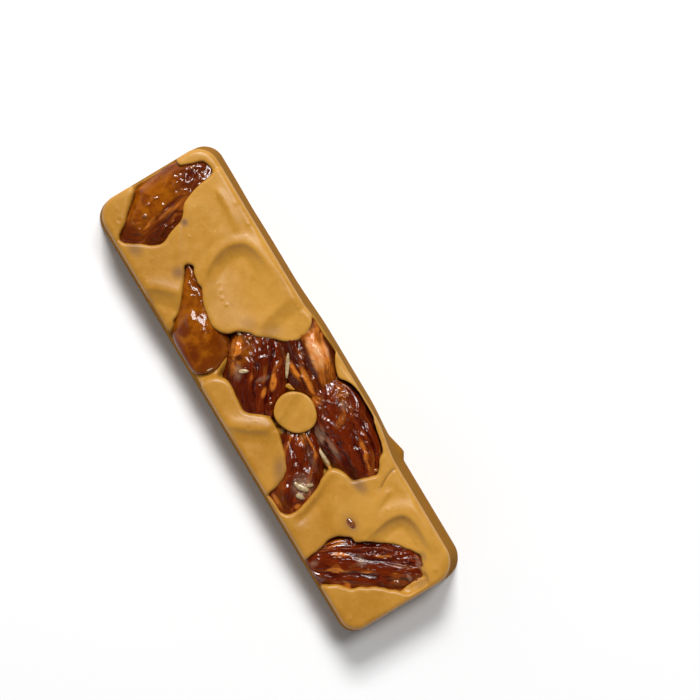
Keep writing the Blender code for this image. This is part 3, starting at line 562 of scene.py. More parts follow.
# Patches by kind, in the bar's plan: (x, y, half sizes, turn, softness, strength).
PATCHES = {
    "almond_end": {
        "amber": [(-48.9, -2.0, 4.4, 6.0, 8, 0.35, 1.0), (-46.0, -6.4, 2.6, 3.2, 20, 0.5, 0.6), (-48.0, 2.4, 2.2, 1.2, 0, 0.5, 0.9)],
        "dark": [(-47.6, 8.6, 3.0, 4.2, 0, 0.35, 0.9), (-41.4, -3.2, 2.6, 6.0, 18, 0.3, 0.85), (-44.4, -10.6, 2.8, 2.8, 0, 0.4, 0.8), (-45.2, 1.4, 0.7, 3.0, 10, 0.5, 0.9)],
        "furrowed": [(-42.6, -2.4, 3.0, 7.0, 16, 0.4, 2.2)],
        "lumpy": [(-47.4, 7.4, 3.2, 4.2, 0, 0.4, 2.4), (-45.0, -9.6, 3.2, 3.2, 0, 0.4, 1.6), (-41.0, -3.0, 2.0, 5.0, 16, 0.4, 1.2)],
        "bright": [(-44.2, -1.5, 0.35, 3.0, 14, 0.5, 0.8), (-44.2, -5.2, 0.35, 1.6, 20, 0.5, 0.9), (-42.6, -0.8, 0.3, 2.2, 16, 0.5, 0.6)],
        "streak": [(-43.9, -2.0, 0.7, 4.6, 14, 0.4, 2.2), (-42.2, -1.0, 0.5, 3.4, 18, 0.4, 1.6), (-44.2, -4.8, 0.5, 2.6, 20, 0.4, 2.4)],
    },
    "almond_teardrop": {
        "amber": [(-20.0, -8.0, 18.0, 9.0, -22, 0.3, 1.0)],
        # The dark patches at its right end, about (-12, -9.6) and (-14, -6), are painted shade where the body turns
        # from the light; the others are its own blotches.
        "dark": [(-21.0, -10.6, 1.3, 1.3, 0, 0.7, 0.8), (-15.1, -11.5, 1.5, 1.3, -10, 0.7, 0.85), (-12.0, -9.6, 1.4, 3.6, 0, 0.6, 0.7), (-17.5, -13.6, 6.0, 1.2, 0, 0.5, 0.8), (-31.8, -3.6, 1.1, 0.9, 0, 0.5, 0.4), (-26.0, -3.6, 3.2, 0.7, -16, 0.5, 0.5), (-14.0, -6.0, 2.4, 1.6, -30, 0.7, 0.5)],
        "lumpy": [(-28.0, -5.0, 4.5, 1.6, -35, 0.5, 2.2)],
        "pale": [],
    },
    "almond_left": {
        "amber": [(-11.4, -2.6, 3.0, 2.6, -40, 0.4, 0.95), (-9.2, -4.8, 2.4, 1.4, -40, 0.5, 0.9)],
        "streak": [(-1.4, -0.1, 1.9, 0.9, -40, 0.35, 2.4), (-0.9, -2.7, 1.3, 0.7, -44, 0.5, 1.6), (-9.6, 3.0, 1.8, 0.7, -30, 0.5, 1.6), (-3.6, -4.6, 2.6, 0.5, -32, 0.5, 1.2)],
        "lumpy": [(-10.8, -1.6, 4.4, 4.4, 0, 0.4, 2.0), (-3.4, -2.6, 1.3, 1.6, 0, 0.5, 1.2)],
        "dark": [(-3.0, -6.4, 6.5, 1.6, -14, 0.5, 0.6), (-7.6, 1.4, 3.6, 1.6, -35, 0.5, 0.5), (-9.9, -3.6, 0.7, 0.9, 0, 0.5, 0.9)],
        "bright": [(-1.4, -0.1, 1.5, 0.6, -40, 0.4, 1.0), (-0.8, -2.8, 1.1, 0.45, -48, 0.5, 0.9), (-11.8, -2.9, 2.4, 1.0, -40, 0.5, 0.95), (-9.2, -4.9, 1.9, 0.8, -40, 0.5, 0.8), (-4.6, -3.6, 1.4, 0.25, -35, 0.5, 0.6)],
        "pale": [(-7.4, -5.2, 1.6, 0.8, -30, 0.6, 0.35), (-3.4, -1.4, 0.5, 1.4, -10, 0.6, 0.35)],
    },
    "almond_far_left": {
        # On this almond the amber, streak, bright and pale patches about (-2, 11.5) are a painted highlight: a peach
        # halo with a pale spot where the glint lies. The dark band along y 9 is partly painted shade under the lit
        # upper side, over a real groove.
        "amber": [(-1.6, 11.6, 5.6, 2.0, -8, 0.5, 0.85), (2.2, 9.4, 2.4, 1.6, 0, 0.6, 0.5), (2.0, 6.5, 3.2, 0.6, -6, 0.5, 1.0), (-2.6, 5.0, 2.8, 0.5, -4, 0.5, 0.8)],
        "dark": [(-3.6, 8.9, 4.8, 0.8, -8, 0.5, 1.0), (-6.4, 6.6, 3.0, 1.6, -20, 0.5, 0.85), (-0.5, 3.6, 5.0, 1.0, 14, 0.5, 0.9), (-5.6, 14.9, 5.0, 0.5, 0, 0.5, 0.7), (-8.2, 12.8, 1.5, 1.4, 0, 0.6, 0.7), (-5.0, 13.3, 1.6, 0.6, -12, 0.6, 0.65), (3.0, 8.3, 2.6, 0.5, -8, 0.6, 0.85), (0.6, 13.2, 1.8, 0.5, -12, 0.6, 0.6), (1.8, 11.0, 1.2, 0.5, -12, 0.6, 0.5)],
        "streak": [(1.0, 7.6, 4.4, 2.6, 0, 0.5, 1.8), (-1.0, 11.6, 5.6, 2.4, -8, 0.5, 2.4)],
        "bright": [(-2.2, 11.6, 4.4, 1.9, -8, 0.6, 1.7), (2.0, 6.4, 3.4, 0.5, -6, 0.6, 1.0), (-1.8, 5.2, 2.6, 0.4, -4, 0.6, 0.8), (-7.0, 13.9, 1.6, 0.5, -20, 0.6, 0.9), (3.0, 9.4, 1.4, 0.7, -10, 0.6, 0.6)],
        "pale": [(-2.9, 11.5, 1.5, 0.8, -10, 0.7, 0.95), (-0.2, 10.9, 1.2, 0.6, -20, 0.7, 0.55), (-1.4, 13.1, 1.7, 0.45, -5, 0.7, 0.40), (-4.6, 10.7, 1.4, 0.5, -10, 0.7, 0.5), (-1.2, 9.8, 1.9, 0.4, -10, 0.7, 0.5)],
    },
    "almond_far_right": {
        "amber": [(6.4, 6.1, 1.1, 1.2, 0, 0.5, 0.9), (8.0, 10.8, 1.8, 1.0, -20, 0.5, 0.6)],
        "streak": [(20.4, 9.2, 2.4, 0.8, -12, 0.45, 2.2), (8.4, 10.6, 2.4, 1.6, -20, 0.5, 1.0), (14.2, 11.4, 0.9, 0.4, 0, 0.5, 1.2), (24.6, 7.6, 1.2, 1.0, 0, 0.5, 1.2)],
        "lumpy": [(11.2, 8.2, 4.8, 5.2, 0, 0.4, 2.2), (20.4, 8.4, 4.0, 3.0, 0, 0.5, 1.0), (16.0, 3.4, 4.0, 1.4, 0, 0.5, 1.4)],
        "bright": [(20.4, 9.2, 1.9, 0.5, -12, 0.5, 0.9), (6.4, 6.0, 0.9, 0.8, 0, 0.5, 0.45), (23.4, 8.2, 1.4, 0.4, -10, 0.5, 0.6), (8.6, 10.9, 1.2, 0.4, 30, 0.5, 0.5)],
        "pale": [(13.2, 2.5, 2.0, 1.2, -30, 0.5, 0.50), (16.9, 3.8, 2.6, 0.6, 0, 0.5, 0.40), (10.3, 10.4, 1.0, 0.9, 0, 0.5, 0.25)],
        "dark": [(16.5, 2.2, 4.0, 0.8, 0, 0.5, 0.8), (13.0, 14.2, 8.0, 1.0, 0, 0.5, 0.7), (23.0, 4.8, 2.6, 1.0, 10, 0.5, 0.6)],
    },
    "almond_near_right": {
        "streak": [(13.6, 0.0, 4.0, 0.6, -3, 0.5, 2.2), (12.6, -2.4, 3.4, 2.0, -20, 0.5, 1.2), (23.7, -9.2, 0.6, 1.0, 0, 0.5, 2.4), (20.6, -12.2, 2.0, 0.4, 0, 0.5, 1.4)],
        "lumpy": [(20.6, -6.6, 3.4, 3.6, 0, 0.5, 2.2), (15.0, -4.6, 3.0, 1.4, -10, 0.5, 1.2)],
        "bright": [(13.4, 0.2, 3.0, 0.22, -3, 0.5, 0.7), (12.4, -1.0, 2.4, 0.2, -8, 0.5, 0.5), (23.7, -9.2, 0.5, 0.8, 0, 0.5, 0.8)],
        "pale": [(20.6, -6.0, 2.0, 1.7, -30, 0.8, 0.55), (16.5, -1.3, 2.6, 0.6, -10, 0.6, 0.16)],
        "dark": [(21.4, -11.0, 2.4, 1.6, 0, 0.5, 0.6)],
    },
    "almond_slant": {
        "streak": [(42.2, 0.9, 0.5, 2.4, -32, 0.45, 2.0), (37.2, -6.4, 0.9, 2.1, -35, 0.45, 2.4), (40.4, -8.4, 0.7, 2.6, -35, 0.45, 2.2), (45.8, 1.4, 0.5, 2.4, -32, 0.45, 0.9), (34.7, -6.4, 0.5, 2.4, -8, 0.45, 2.0), (43.4, -8.8, 0.9, 0.8, 0, 0.5, 2.2), (44.0, -3.0, 0.5, 3.0, -32, 0.45, 1.6)],
        "lumpy": [(40.4, 0.6, 1.6, 5.4, -38, 0.45, 2.2), (49.2, 2.6, 1.6, 3.4, -10, 0.5, 1.6), (36.6, -12.0, 3.0, 1.6, 0, 0.5, 1.6), (47.0, 6.6, 2.6, 1.0, 0, 0.5, 1.6)],
        "bright": [(37.0, -6.6, 0.45, 1.5, -35, 0.5, 0.9), (40.0, -8.6, 0.40, 1.7, -30, 0.5, 0.9), (42.1, 1.2, 0.3, 1.7, -32, 0.5, 0.8), (43.6, -8.6, 0.7, 0.5, 0, 0.5, 0.8), (34.9, -6.4, 0.22, 2.0, -10, 0.5, 0.7)],
        "pale": [(40.4, -3.4, 1.1, 0.8, -20, 0.7, 0.35), (48.9, 3.6, 0.9, 0.4, 0, 0.5, 0.5), (47.2, 6.9, 1.6, 0.4, -10, 0.5, 0.4), (36.0, -12.4, 0.6, 1.0, 0, 0.5, 0.4)],
    },
}

# Rounded beads and edges of glaze that catch the light (x, y, half width, height), and grooves (from, to, half width,
# depth), in the bar's plan.
DROPS = {
    "almond_end": [(-49.7, 8.6, 0.34, 0.24), (-48.3, 8.5, 0.30, 0.20), (-46.9, 8.8, 0.30, 0.20), (-48.1, -1.6, 0.34, 0.22), (-48.0, -3.6, 0.30, 0.20), (-45.8, -5.2, 0.42, 0.30), (-47.4, -7.2, 0.40, 0.24), (-48.6, 4.2, 0.30, 0.22), (-48.1, 3.6, 0.30, 0.20), (-50.8, -3.4, 0.25, 0.15), (-46.0, -0.9, 0.22, 0.14), (-44.9, -1.2, 0.22, 0.14), (-43.5, 1.2, 0.40, 0.22)],
    "almond_teardrop": [(-22.3, -8.2, 0.80, 0.50), (-17.6, -8.7, 1.6, 0.60), (-29.0, -4.5, 0.30, 0.20), (-26.3, -5.7, 0.34, 0.22), (-31.1, -2.2, 0.40, 0.30), (-30.0, -3.2, 0.34, 0.24), (-28.7, -3.4, 0.22, 0.16), (-23.8, -4.6, 0.26, 0.16), (-25.7, -7.6, 0.24, 0.14), (-25.0, -7.3, 0.2, 0.12), (-11.2, -9.8, 0.4, 0.2)],
    "almond_left": [(-9.8, 2.5, 0.42, 0.30), (-12.2, 0.6, 0.42, 0.30), (-13.0, -2.4, 0.32, 0.24), (-12.0, -3.4, 0.40, 0.22), (-7.4, -1.0, 0.36, 0.26), (-7.6, -2.1, 0.30, 0.20), (-3.2, -3.4, 0.36, 0.2), (-10.9, -4.0, 0.3, 0.2), (-5.0, 1.2, 0.26, 0.16)],
    "almond_far_left": [(-0.9, 10.9, 1.25, 1.25), (4.4, 11.6, 0.36, 0.26), (-6.9, 11.4, 0.3, 0.16), (3.6, 6.8, 0.28, 0.18), (1.2, 8.6, 0.24, 0.16)],
    "almond_far_right": [(8.6, 12.2, 0.42, 0.28), (12.5, 8.0, 0.44, 0.32), (13.9, 6.0, 0.60, 0.36), (10.4, 10.0, 0.40, 0.26), (17.6, 10.2, 0.34, 0.22), (20.1, 8.1, 0.34, 0.22), (19.6, 10.3, 0.3, 0.2), (13.2, 4.7, 0.34, 0.24), (11.4, 9.2, 0.3, 0.2), (15.8, 7.6, 0.3, 0.2), (18.8, 6.0, 0.36, 0.18), (25.9, 9.1, 0.3, 0.2)],
    "almond_near_right": [(13.6, -1.8, 0.50, 0.32), (15.5, -1.0, 0.34, 0.24), (9.4, -2.5, 0.50, 0.34), (11.9, -1.6, 0.22, 0.14), (16.4, -4.9, 0.34, 0.24), (14.4, -5.2, 0.34, 0.22), (18.8, -5.2, 0.34, 0.22), (20.2, -9.8, 0.34, 0.20), (19.6, -2.2, 0.3, 0.2)],
    "almond_slant": [(37.7, -2.0, 0.36, 0.26), (39.2, -0.9, 0.30, 0.22), (40.6, 2.1, 0.36, 0.26), (42.2, 4.0, 0.30, 0.24), (44.0, 5.4, 0.36, 0.26), (48.3, 0.8, 0.40, 0.26), (36.3, -3.2, 0.28, 0.2), (39.3, 0.3, 0.3, 0.2), (36.9, -5.3, 0.4, 0.2), (35.6, -11.3, 0.3, 0.2), (40.9, 3.3, 0.25, 0.2)],
}
GROOVES = {
    "almond_end": [((-45.9, 3.4), (-43.2, -7.5), 0.42, 0.34), ((-43.4, 1.6), (-41.6, -6.0), 0.38, 0.30), ((-50.0, 2.9), (-46.2, 3.2), 0.40, 0.14), ((-42.0, 0.6), (-40.6, -4.6), 0.34, 0.26)],
    "almond_far_left": [((-8.0, 9.5), (2.6, 7.9), 0.75, 0.50), ((-6.4, 5.6), (4.8, 4.9), 0.45, 0.25), ((-5.6, 7.0), (5.0, 6.1), 0.35, 0.2)],
    "almond_left": [((-9.6, 5.0), (2.6, -4.4), 0.50, 0.26), ((-7.6, -0.2), (0.6, -6.6), 0.50, 0.30), ((-3.0, 1.6), (1.6, -2.8), 0.3, 0.2)],
    "almond_slant": [((38.6, -5.0), (47.8, 6.0), 0.50, 0.30), ((37.8, -11.5), (45.6, -1.0), 0.50, 0.30), ((46.6, -1.4), (49.4, 4.0), 0.4, 0.24)],
    "almond_near_right": [((10.0, -0.6), (19.6, -1.6), 0.40, 0.24), ((10.0, -3.4), (17.6, -4.2), 0.40, 0.22)],
    "almond_far_right": [((14.6, 9.4), (25.4, 7.2), 0.42, 0.26), ((12.0, 12.4), (23.4, 11.0), 0.42, 0.24), ((15.4, 5.2), (24.8, 5.0), 0.42, 0.26)],
}


def patches(name, kind, x, y, base=0.0):
    value = np.full(x.shape, float(base))
    for cx, cy, rx, ry, turn, soft, strength in PATCHES[name].get(kind, []):
        value = np.maximum(value, strength * blob(x, y, cx, cy, rx, ry, turn, soft))
    return value


def make_almond(name, seed, around=190, along=165):
    s = ALMONDS[name]
    noise, other = Noise(100 + seed), Noise(200 + seed)
    t = np.linspace(0.0, 1.0, along + 1)[1:-1]
    station = 0.55 * -np.cos(math.pi * t) + 0.45 * (2.0 * t - 1.0)
    turn = 2.0 * math.pi * np.arange(around) / around
    angle = turn + 0.5 * np.cos(turn)  # the upper side gets the finer mesh
    st, an = np.meshgrid(station, angle, indexing="ij")
    share = (st + 1.0) / 2.0
    peak = s["first"] / (s["first"] + s["last"])
    most = peak ** s["first"] * (1.0 - peak) ** s["last"]
    swell = share ** s["first"] * (1.0 - share) ** s["last"] / most
    full = s["full"]
    across = np.sign(np.cos(an)) * np.abs(np.cos(an)) ** full
    upward = np.sign(np.sin(an)) * np.abs(np.sin(an)) ** full
    points = np.stack((st * s["length"] / 2, across * swell * s["width"] / 2, (upward * swell + s["level"] * (1.0 - swell)) * s["thick"] / 2), axis=-1)
    place = Matrix.Translation((s["at"][0], s["at"][1] + SHIFT_Y, s["top"] - s["thick"] / 2)) @ Matrix.Rotation(math.radians(s["turn"]), 4, "Z") @ Matrix.Rotation(math.radians(-s["rise"]), 4, "Y")
    spin = np.array(place.to_3x3())
    shift = np.array(place.translation)

    def plan(p):
        world = p @ spin.T + shift
        return world[..., 0], world[..., 1] - SHIFT_Y, world[..., 2]

    def normals(p):
        du = np.gradient(p, axis=0)
        dv = np.roll(p, -1, axis=1) - np.roll(p, 1, axis=1)
        n = np.cross(dv, du)
        n /= np.maximum(np.linalg.norm(n, axis=-1, keepdims=True), 1e-9)
        flip = np.sign((n * (p - np.array([0.0, 0.0, 0.0])))[..., 1:].sum(axis=-1).mean())
        return n * (flip if flip != 0 else 1.0)

    x, y, z = plan(points)
    a = points[..., 0]
    warp = 0.30 * noise(a / 5.5, 1.3 * np.cos(an), 1.3 * np.sin(an)) + 0.10 * other(a / 2.2, 2.2 * np.cos(an), 2.2 * np.sin(an))
    ca, sa = np.cos(an + warp), np.sin(an + warp)
    wide = 1.0 - np.abs(noise(a * 0.045 + 9.0, 2.7 * ca, 2.7 * sa)) * 2.0
    mid = 1.0 - np.abs(other(a * 0.075 + 4.0, 4.6 * ca, 4.6 * sa)) * 2.0
    fine = noise(a * 0.16 + 2.0, 9.0 * ca, 9.0 * sa)
    furrows = 0.62 * wide + 0.42 * mid + 0.28 * fine
    gx, gy, gz = points[..., 0], points[..., 1], points[..., 2]
    # The glaze's wrinkles run askew and waver, so no grid shows in them.
    bent = 0.9 * noise(gx / 2.3 + 11.0, gy / 2.3, gz / 2.3)
    bx_, by_, bz_ = 0.74 * gx + 0.58 * gy + 0.34 * gz + bent, -0.63 * gx + 0.76 * gy + 0.17 * gz - bent, -0.24 * gx - 0.30 * gy + 0.92 * gz + 0.5 * bent
    cells = 1.0 - 2.0 * np.abs(other(bx_ / 1.5, by_ / 1.15, bz_ / 1.3 + 5.0))
    drops = np.maximum(noise(bx_ / 1.0 + 3.0, by_ / 0.85, bz_ / 0.9) - 0.25, 0.0) * 1.3
    soft = noise.layers(gx / 4.5, gy / 4.5, gz / 4.5, count=2)
    furrowed = patches(name, "furrowed", x, y, 1.0)
    lumpy = patches(name, "lumpy", x, y, 0.35)
    amber = patches(name, "amber", x, y)
    ends = swell ** 0.5
    relief = s["furrow"] * furrowed * furrows * (1.0 - s.get("smooth", 0.75) * amber) + s["lump"] * lumpy * (0.85 * cells + 0.45 * drops) + 0.16 * soft
    groove = np.zeros(x.shape)
    for (x0, y0), (x1, y1), width, depth in GROOVES.get(name, []):
        line = spline([(x0, y0), (x1, y1)], step=30.0)
        distance, _, along_line = path_field(x + 0.45 * noise(x / 2.6, y / 2.6, 4.0), y + 0.45 * noise(x / 2.6, y / 2.6, 8.0), line)
        groove = np.maximum(groove, depth * np.exp(-((distance / width) ** 2)) * smoothstep(0.0, 0.15, along_line) * smoothstep(0.0, 0.15, 1.0 - along_line))
    relief = relief - groove
    axis = math.radians(s["turn"])
    wave_x, wave_y = 0.22 * other(x / 0.9, y / 0.9, 2.0), 0.22 * other(x / 0.9, y / 0.9, 6.0)
    for bx, by, width, height in DROPS.get(name, []):
        u = (x + wave_x - bx) * math.cos(axis) + (y + wave_y - by) * math.sin(axis)
        v = -(x + wave_x - bx) * math.sin(axis) + (y + wave_y - by) * math.cos(axis)
        relief = relief + height * np.exp(-0.5 * ((u / 1.45) ** 2 + (v / 0.85) ** 2) / width**2)
    relief = relief * ends * smoothstep(-2.5, 0.5, gz + 1.0)
    n = normals(points)
    shaped = points + n * (relief - 0.10)[..., None]
    # Where an almond lay against the mould it is flush with the wall, and its top keeps just under the face.
    wx, wy, wz = plan(shaped)
    up = wz / HEIGHT
    wy = smooth_max(wy, -(HALF_WIDTH - SIDE_DRAFT * up) + 0.05, 0.9)
    wy = smooth_min(wy, far_base(wx) + (far_face(wx) - far_base(wx)) * up - 0.05, 0.5)
    wx = smooth_max(wx, -(LENGTH / 2 - END_DRAFT * up) + 0.05, 0.9)
    wx = smooth_min(wx, (LENGTH / 2 - END_DRAFT * up) - 0.05, 0.5)
    wz = smooth_min(wz, 13.9, 0.5)
    shaped = (np.stack((wx, wy + SHIFT_Y, wz), axis=-1) - shift) @ spin

    streaks = smoothstep(0.25, 0.85, 0.6 * wide + 0.75 * other(a * 0.10 + 1.0, 7.5 * ca, 7.5 * sa) + 0.25 * noise(a / 1.6, 3.0 * ca, 3.0 * sa))
    streaks = streaks * smoothstep(-0.35, 0.5, noise(a / 3.3 + 6.0, 1.8 * ca, 1.8 * sa))
    # On the far-left almond the veins, with the amber and pale masks, also paint the halo and spot of a highlight.
    vein = np.clip(streaks * (0.30 + patches(name, "streak", x, y)) + patches(name, "bright", x, y) * smoothstep(-0.7, 0.3, mid) * smoothstep(-0.9, 0.1, fine + 0.5 * noise(gx / 0.9, gy / 0.9, gz / 0.9 + 4.0)), 0.0, 1.6)
    values = {
        "amber": amber,
        "vein": vein,
        "dark": patches(name, "dark", x, y),
        "pale": patches(name, "pale", x, y) * (0.6 + 0.4 * smoothstep(-0.4, 0.4, noise(gx / 0.9, gy / 0.9, gz / 0.9))),
        # Darker in the furrows and grooves: partly the skin's own colour, partly painted shade.
        "furrow": 0.5 + 0.5 * np.clip(0.7 * wide + 0.5 * mid - 5.0 * groove, -1.0, 1.0),
        "rough": np.clip(lumpy / 2.0, 0.0, 1.0),
    }
    rows, cols = shaped.shape[:2]
    first_tip, last_tip = shaped[0].mean(axis=0), shaped[-1].mean(axis=0)
    verts = np.vstack((shaped.reshape(-1, 3), first_tip, last_tip))
    i, j = np.meshgrid(np.arange(rows - 1), np.arange(cols), indexing="ij")
    k = (j + 1) % cols
    quads = np.stack((i * cols + j, i * cols + k, (i + 1) * cols + k, (i + 1) * cols + j), axis=-1).reshape(-1, 4)
    tips = []
    for c in range(cols):
        d = (c + 1) % cols
        tips.append((rows * cols, d, c))
        tips.append((rows * cols + 1, (rows - 1) * cols + c, (rows - 1) * cols + d))
    faces = [tuple(q) for q in quads.tolist()] + tips
    # Turn the faces out.
    centre = shaped[rows // 2].mean(axis=0)
    p0, p1, p2 = (verts[quads[len(quads) // 2][m]] for m in (0, 1, 2))
    if np.dot(np.cross(p1 - p0, p2 - p1), p0 - centre) < 0:
        faces = [tuple(reversed(f)) for f in faces]
    world = verts @ spin.T + shift
    obj = make_mixed(f"{name}_glazed", world, faces)
    own = obj.data.attributes.new("local", "FLOAT_VECTOR", "POINT")
    own.data.foreach_set("vector", (verts * MM).astype(np.float32).ravel())
    for key, value in values.items():
        flat = value.reshape(-1)
        add_attribute(obj, key, np.concatenate((flat, [flat[:cols].mean(), flat[-cols:].mean()])))
    return obj, world, faces


# =====================================================================================================================
# Seeds, flakes and beads of glaze, all at true size
# =====================================================================================================================
# Pale seeds and flakes: x, y, length, width, turn.
SEEDS = [
    (-6.9, -4.1, 2.3, 1.0, 62), (-14.35, -0.85, 1.3, 0.8, 5), (22.2, -7.5, 2.3, 1.2, 28), (20.9, -6.1, 3.0, 1.5, 36), (21.2, -4.5, 1.7, 0.9, 60), (19.5, -6.9, 1.4, 0.8, 10),
    # The two at (-10.95, -10.2) and (-31.3, -2.0) are pale marks set where glints lie on the glaze: painted highlights.
    (8.4, -3.5, 1.5, 1.0, 10), (-10.95, -10.2, 1.4, 0.35, 86), (-31.3, -2.0, 1.1, 0.8, -20),
]
# The long sliver between the two left almonds, as a bent flake: ends, width.
SLIVERS = [((-5.5, 6.1), (-0.8, 2.8), 0.85), ((15.6, 1.0), (19.9, 1.1), 0.9)]
# Clear or dark beads of glaze: x, y, radius.
BEADS_OF_GLAZE = [(1.95, -2.7, 0.42), (9.3, -2.7, 0.5), (4.75, 12.0, 0.55), (-12.2, 0.6, 0.45), (-13.0, -0.3, 0.4), (20.0, 0.3, 0.35), (8.5, 12.3, 0.6), (-46.1, -5.2, 0.55), (-49.7, 8.5, 0.5), (25.7, 9.2, 0.45)]


def seed_shape(length, width, height, turn, bend=0.0, rings=12, sides=12, point=0.7):
    """A flat seed, rounder at one end: vertices about its own centre, and faces."""
    verts, faces = [], []
    for r in range(1, rings):
        share = r / rings
        swell = share**0.5 * (1.0 - share) ** point / (0.42**0.5 * 0.58**point)
        for c in range(sides):
            a = 2.0 * math.pi * c / sides
            u = (share - 0.5) * length
            verts.append((u, math.cos(a) * swell * width / 2 + bend * (1.0 - (2.0 * share - 1.0) ** 2), math.sin(a) * swell * height / 2))
    verts += [(-length / 2, 0.0, 0.0), (length / 2, 0.0, 0.0)]
    for r in range(rings - 2):
        for c in range(sides):
            d = (c + 1) % sides
            faces.append((r * sides + c, (r + 1) * sides + c, (r + 1) * sides + d, r * sides + d))
    top = (rings - 2) * sides
    for c in range(sides):
        d = (c + 1) % sides
        faces.append(((rings - 1) * sides, c, d))
        faces.append(((rings - 1) * sides + 1, top + d, top + c))
    a = math.radians(turn)
    spin = np.array([[math.cos(a), -math.sin(a), 0.0], [math.sin(a), math.cos(a), 0.0], [0.0, 0.0, 1.0]])
    return np.array(verts) @ spin.T, faces


class Ground:
    """The upper surface of the almonds and the chocolate, to lay small things on."""

    def __init__(self):
        self.trees = []

    def add(self, verts, faces):
        self.trees.append(BVHTree.FromPolygons([tuple(v) for v in np.asarray(verts).tolist()], faces))

    def top(self, x, y):
        best = None
        for tree in self.trees:
            hit, normal, _, _ = tree.ray_cast(Vector((x, y + SHIFT_Y, 20.0)), Vector((0.0, 0.0, -1.0)))
            if hit is not None and (best is None or hit.z > best[0].z):
                best = (hit, normal)
        return best


def laid(ground, x, y, verts, sink):
    """The vertices moved to rest on the ground at x, y, tipped with its slope."""
    found = ground.top(x, y)
    if found is None:
        return verts + np.array([x, y + SHIFT_Y, 9.0])
    hit, normal = found
    normal = (normal if normal.z > 0 else -normal).lerp(Vector((0.0, 0.0, 1.0)), 0.35).normalized()
    tip = np.array(Vector((0.0, 0.0, 1.0)).rotation_difference(normal).to_matrix())
    return verts @ tip.T + np.array(hit) + np.array(normal) * sink


def joined(name, pieces):
    verts, faces, start = [], [], 0
    for piece, its_faces in pieces:
        verts.append(piece)
        faces += [tuple(v + start for v in f) for f in its_faces]
        start += len(piece)
    return make_mixed(name, np.vstack(verts), faces)


# =====================================================================================================================
# Materials
# =====================================================================================================================
class Nodes:
    """A material's node tree, with short ways to add and join nodes."""

    def __init__(self, name):
        self.material = bpy.data.materials.new(name)
        self.material.use_nodes = True
        self.tree = self.material.node_tree
        self.shader = self.tree.nodes["Principled BSDF"]
        self.local = False  # read the attribute "local", which runs along an almond, and not the object's coordinates

    def new(self, kind, **inputs):
        node = self.tree.nodes.new(kind)
        for key, value in inputs.items():
            self.put(node, key, value)
        return node

    def put(self, node, key, value):
        socket = node.inputs[key.replace("_", " ")] if isinstance(key, str) else node.inputs[key]
        if isinstance(value, bpy.types.NodeSocket):
            self.tree.links.new(value, socket)
        else:
            socket.default_value = value

    def noise(self, where, scale, detail=3.0, rough=0.55, distortion=0.0):
        node = self.new("ShaderNodeTexNoise", Scale=scale, Detail=detail, Roughness=rough, Distortion=distortion, Vector=where)
        return node.outputs["Fac"]

    def attribute(self, name):
        node = self.new("ShaderNodeAttribute")
        node.attribute_name = name
        return node.outputs["Fac"]

    def ramp(self, value, low, high, out_low=0.0, out_high=1.0):
        node = self.new("ShaderNodeMapRange")
        node.interpolation_type = "SMOOTHSTEP"
        for key, v in (("Value", value), ("From Min", low), ("From Max", high), ("To Min", out_low), ("To Max", out_high)):
            self.put(node, key, v)
        return node.outputs["Result"]

    def mix(self, share, a, b, kind="MIX"):
        node = self.new("ShaderNodeMix")
        node.data_type = "RGBA"
        node.blend_type = kind
        self.put(node, 0, share)
        self.put(node, 6, a)
        self.put(node, 7, b)
        return node.outputs[2]

    def math(self, kind, a, b=0.0):
        node = self.new("ShaderNodeMath")
        node.operation = kind
        self.put(node, 0, a)
        self.put(node, 1, b)
        return node.outputs[0]

    def bump(self, height, strength, distance, before=None):
        node = self.new("ShaderNodeBump", Height=height, Strength=strength, Distance=distance)
        if before is not None:
            self.put(node, "Normal", before)
        return node.outputs["Normal"]

    def where(self, stretch=(1.0, 1.0, 1.0)):
        """The object's own coordinates in millimetres."""
        if self.local:
            node = self.new("ShaderNodeAttribute")
            node.attribute_name = "local"
            coordinate = node.outputs["Vector"]
        else:
            coordinate = self.new("ShaderNodeTexCoord").outputs["Object"]
        node = self.new("ShaderNodeMapping", Vector=coordinate)
        node.inputs["Scale"].default_value = tuple(1000.0 * s for s in stretch)
        return node.outputs["Vector"]


def rgba(r, g, b):
    return (r, g, b, 1.0)


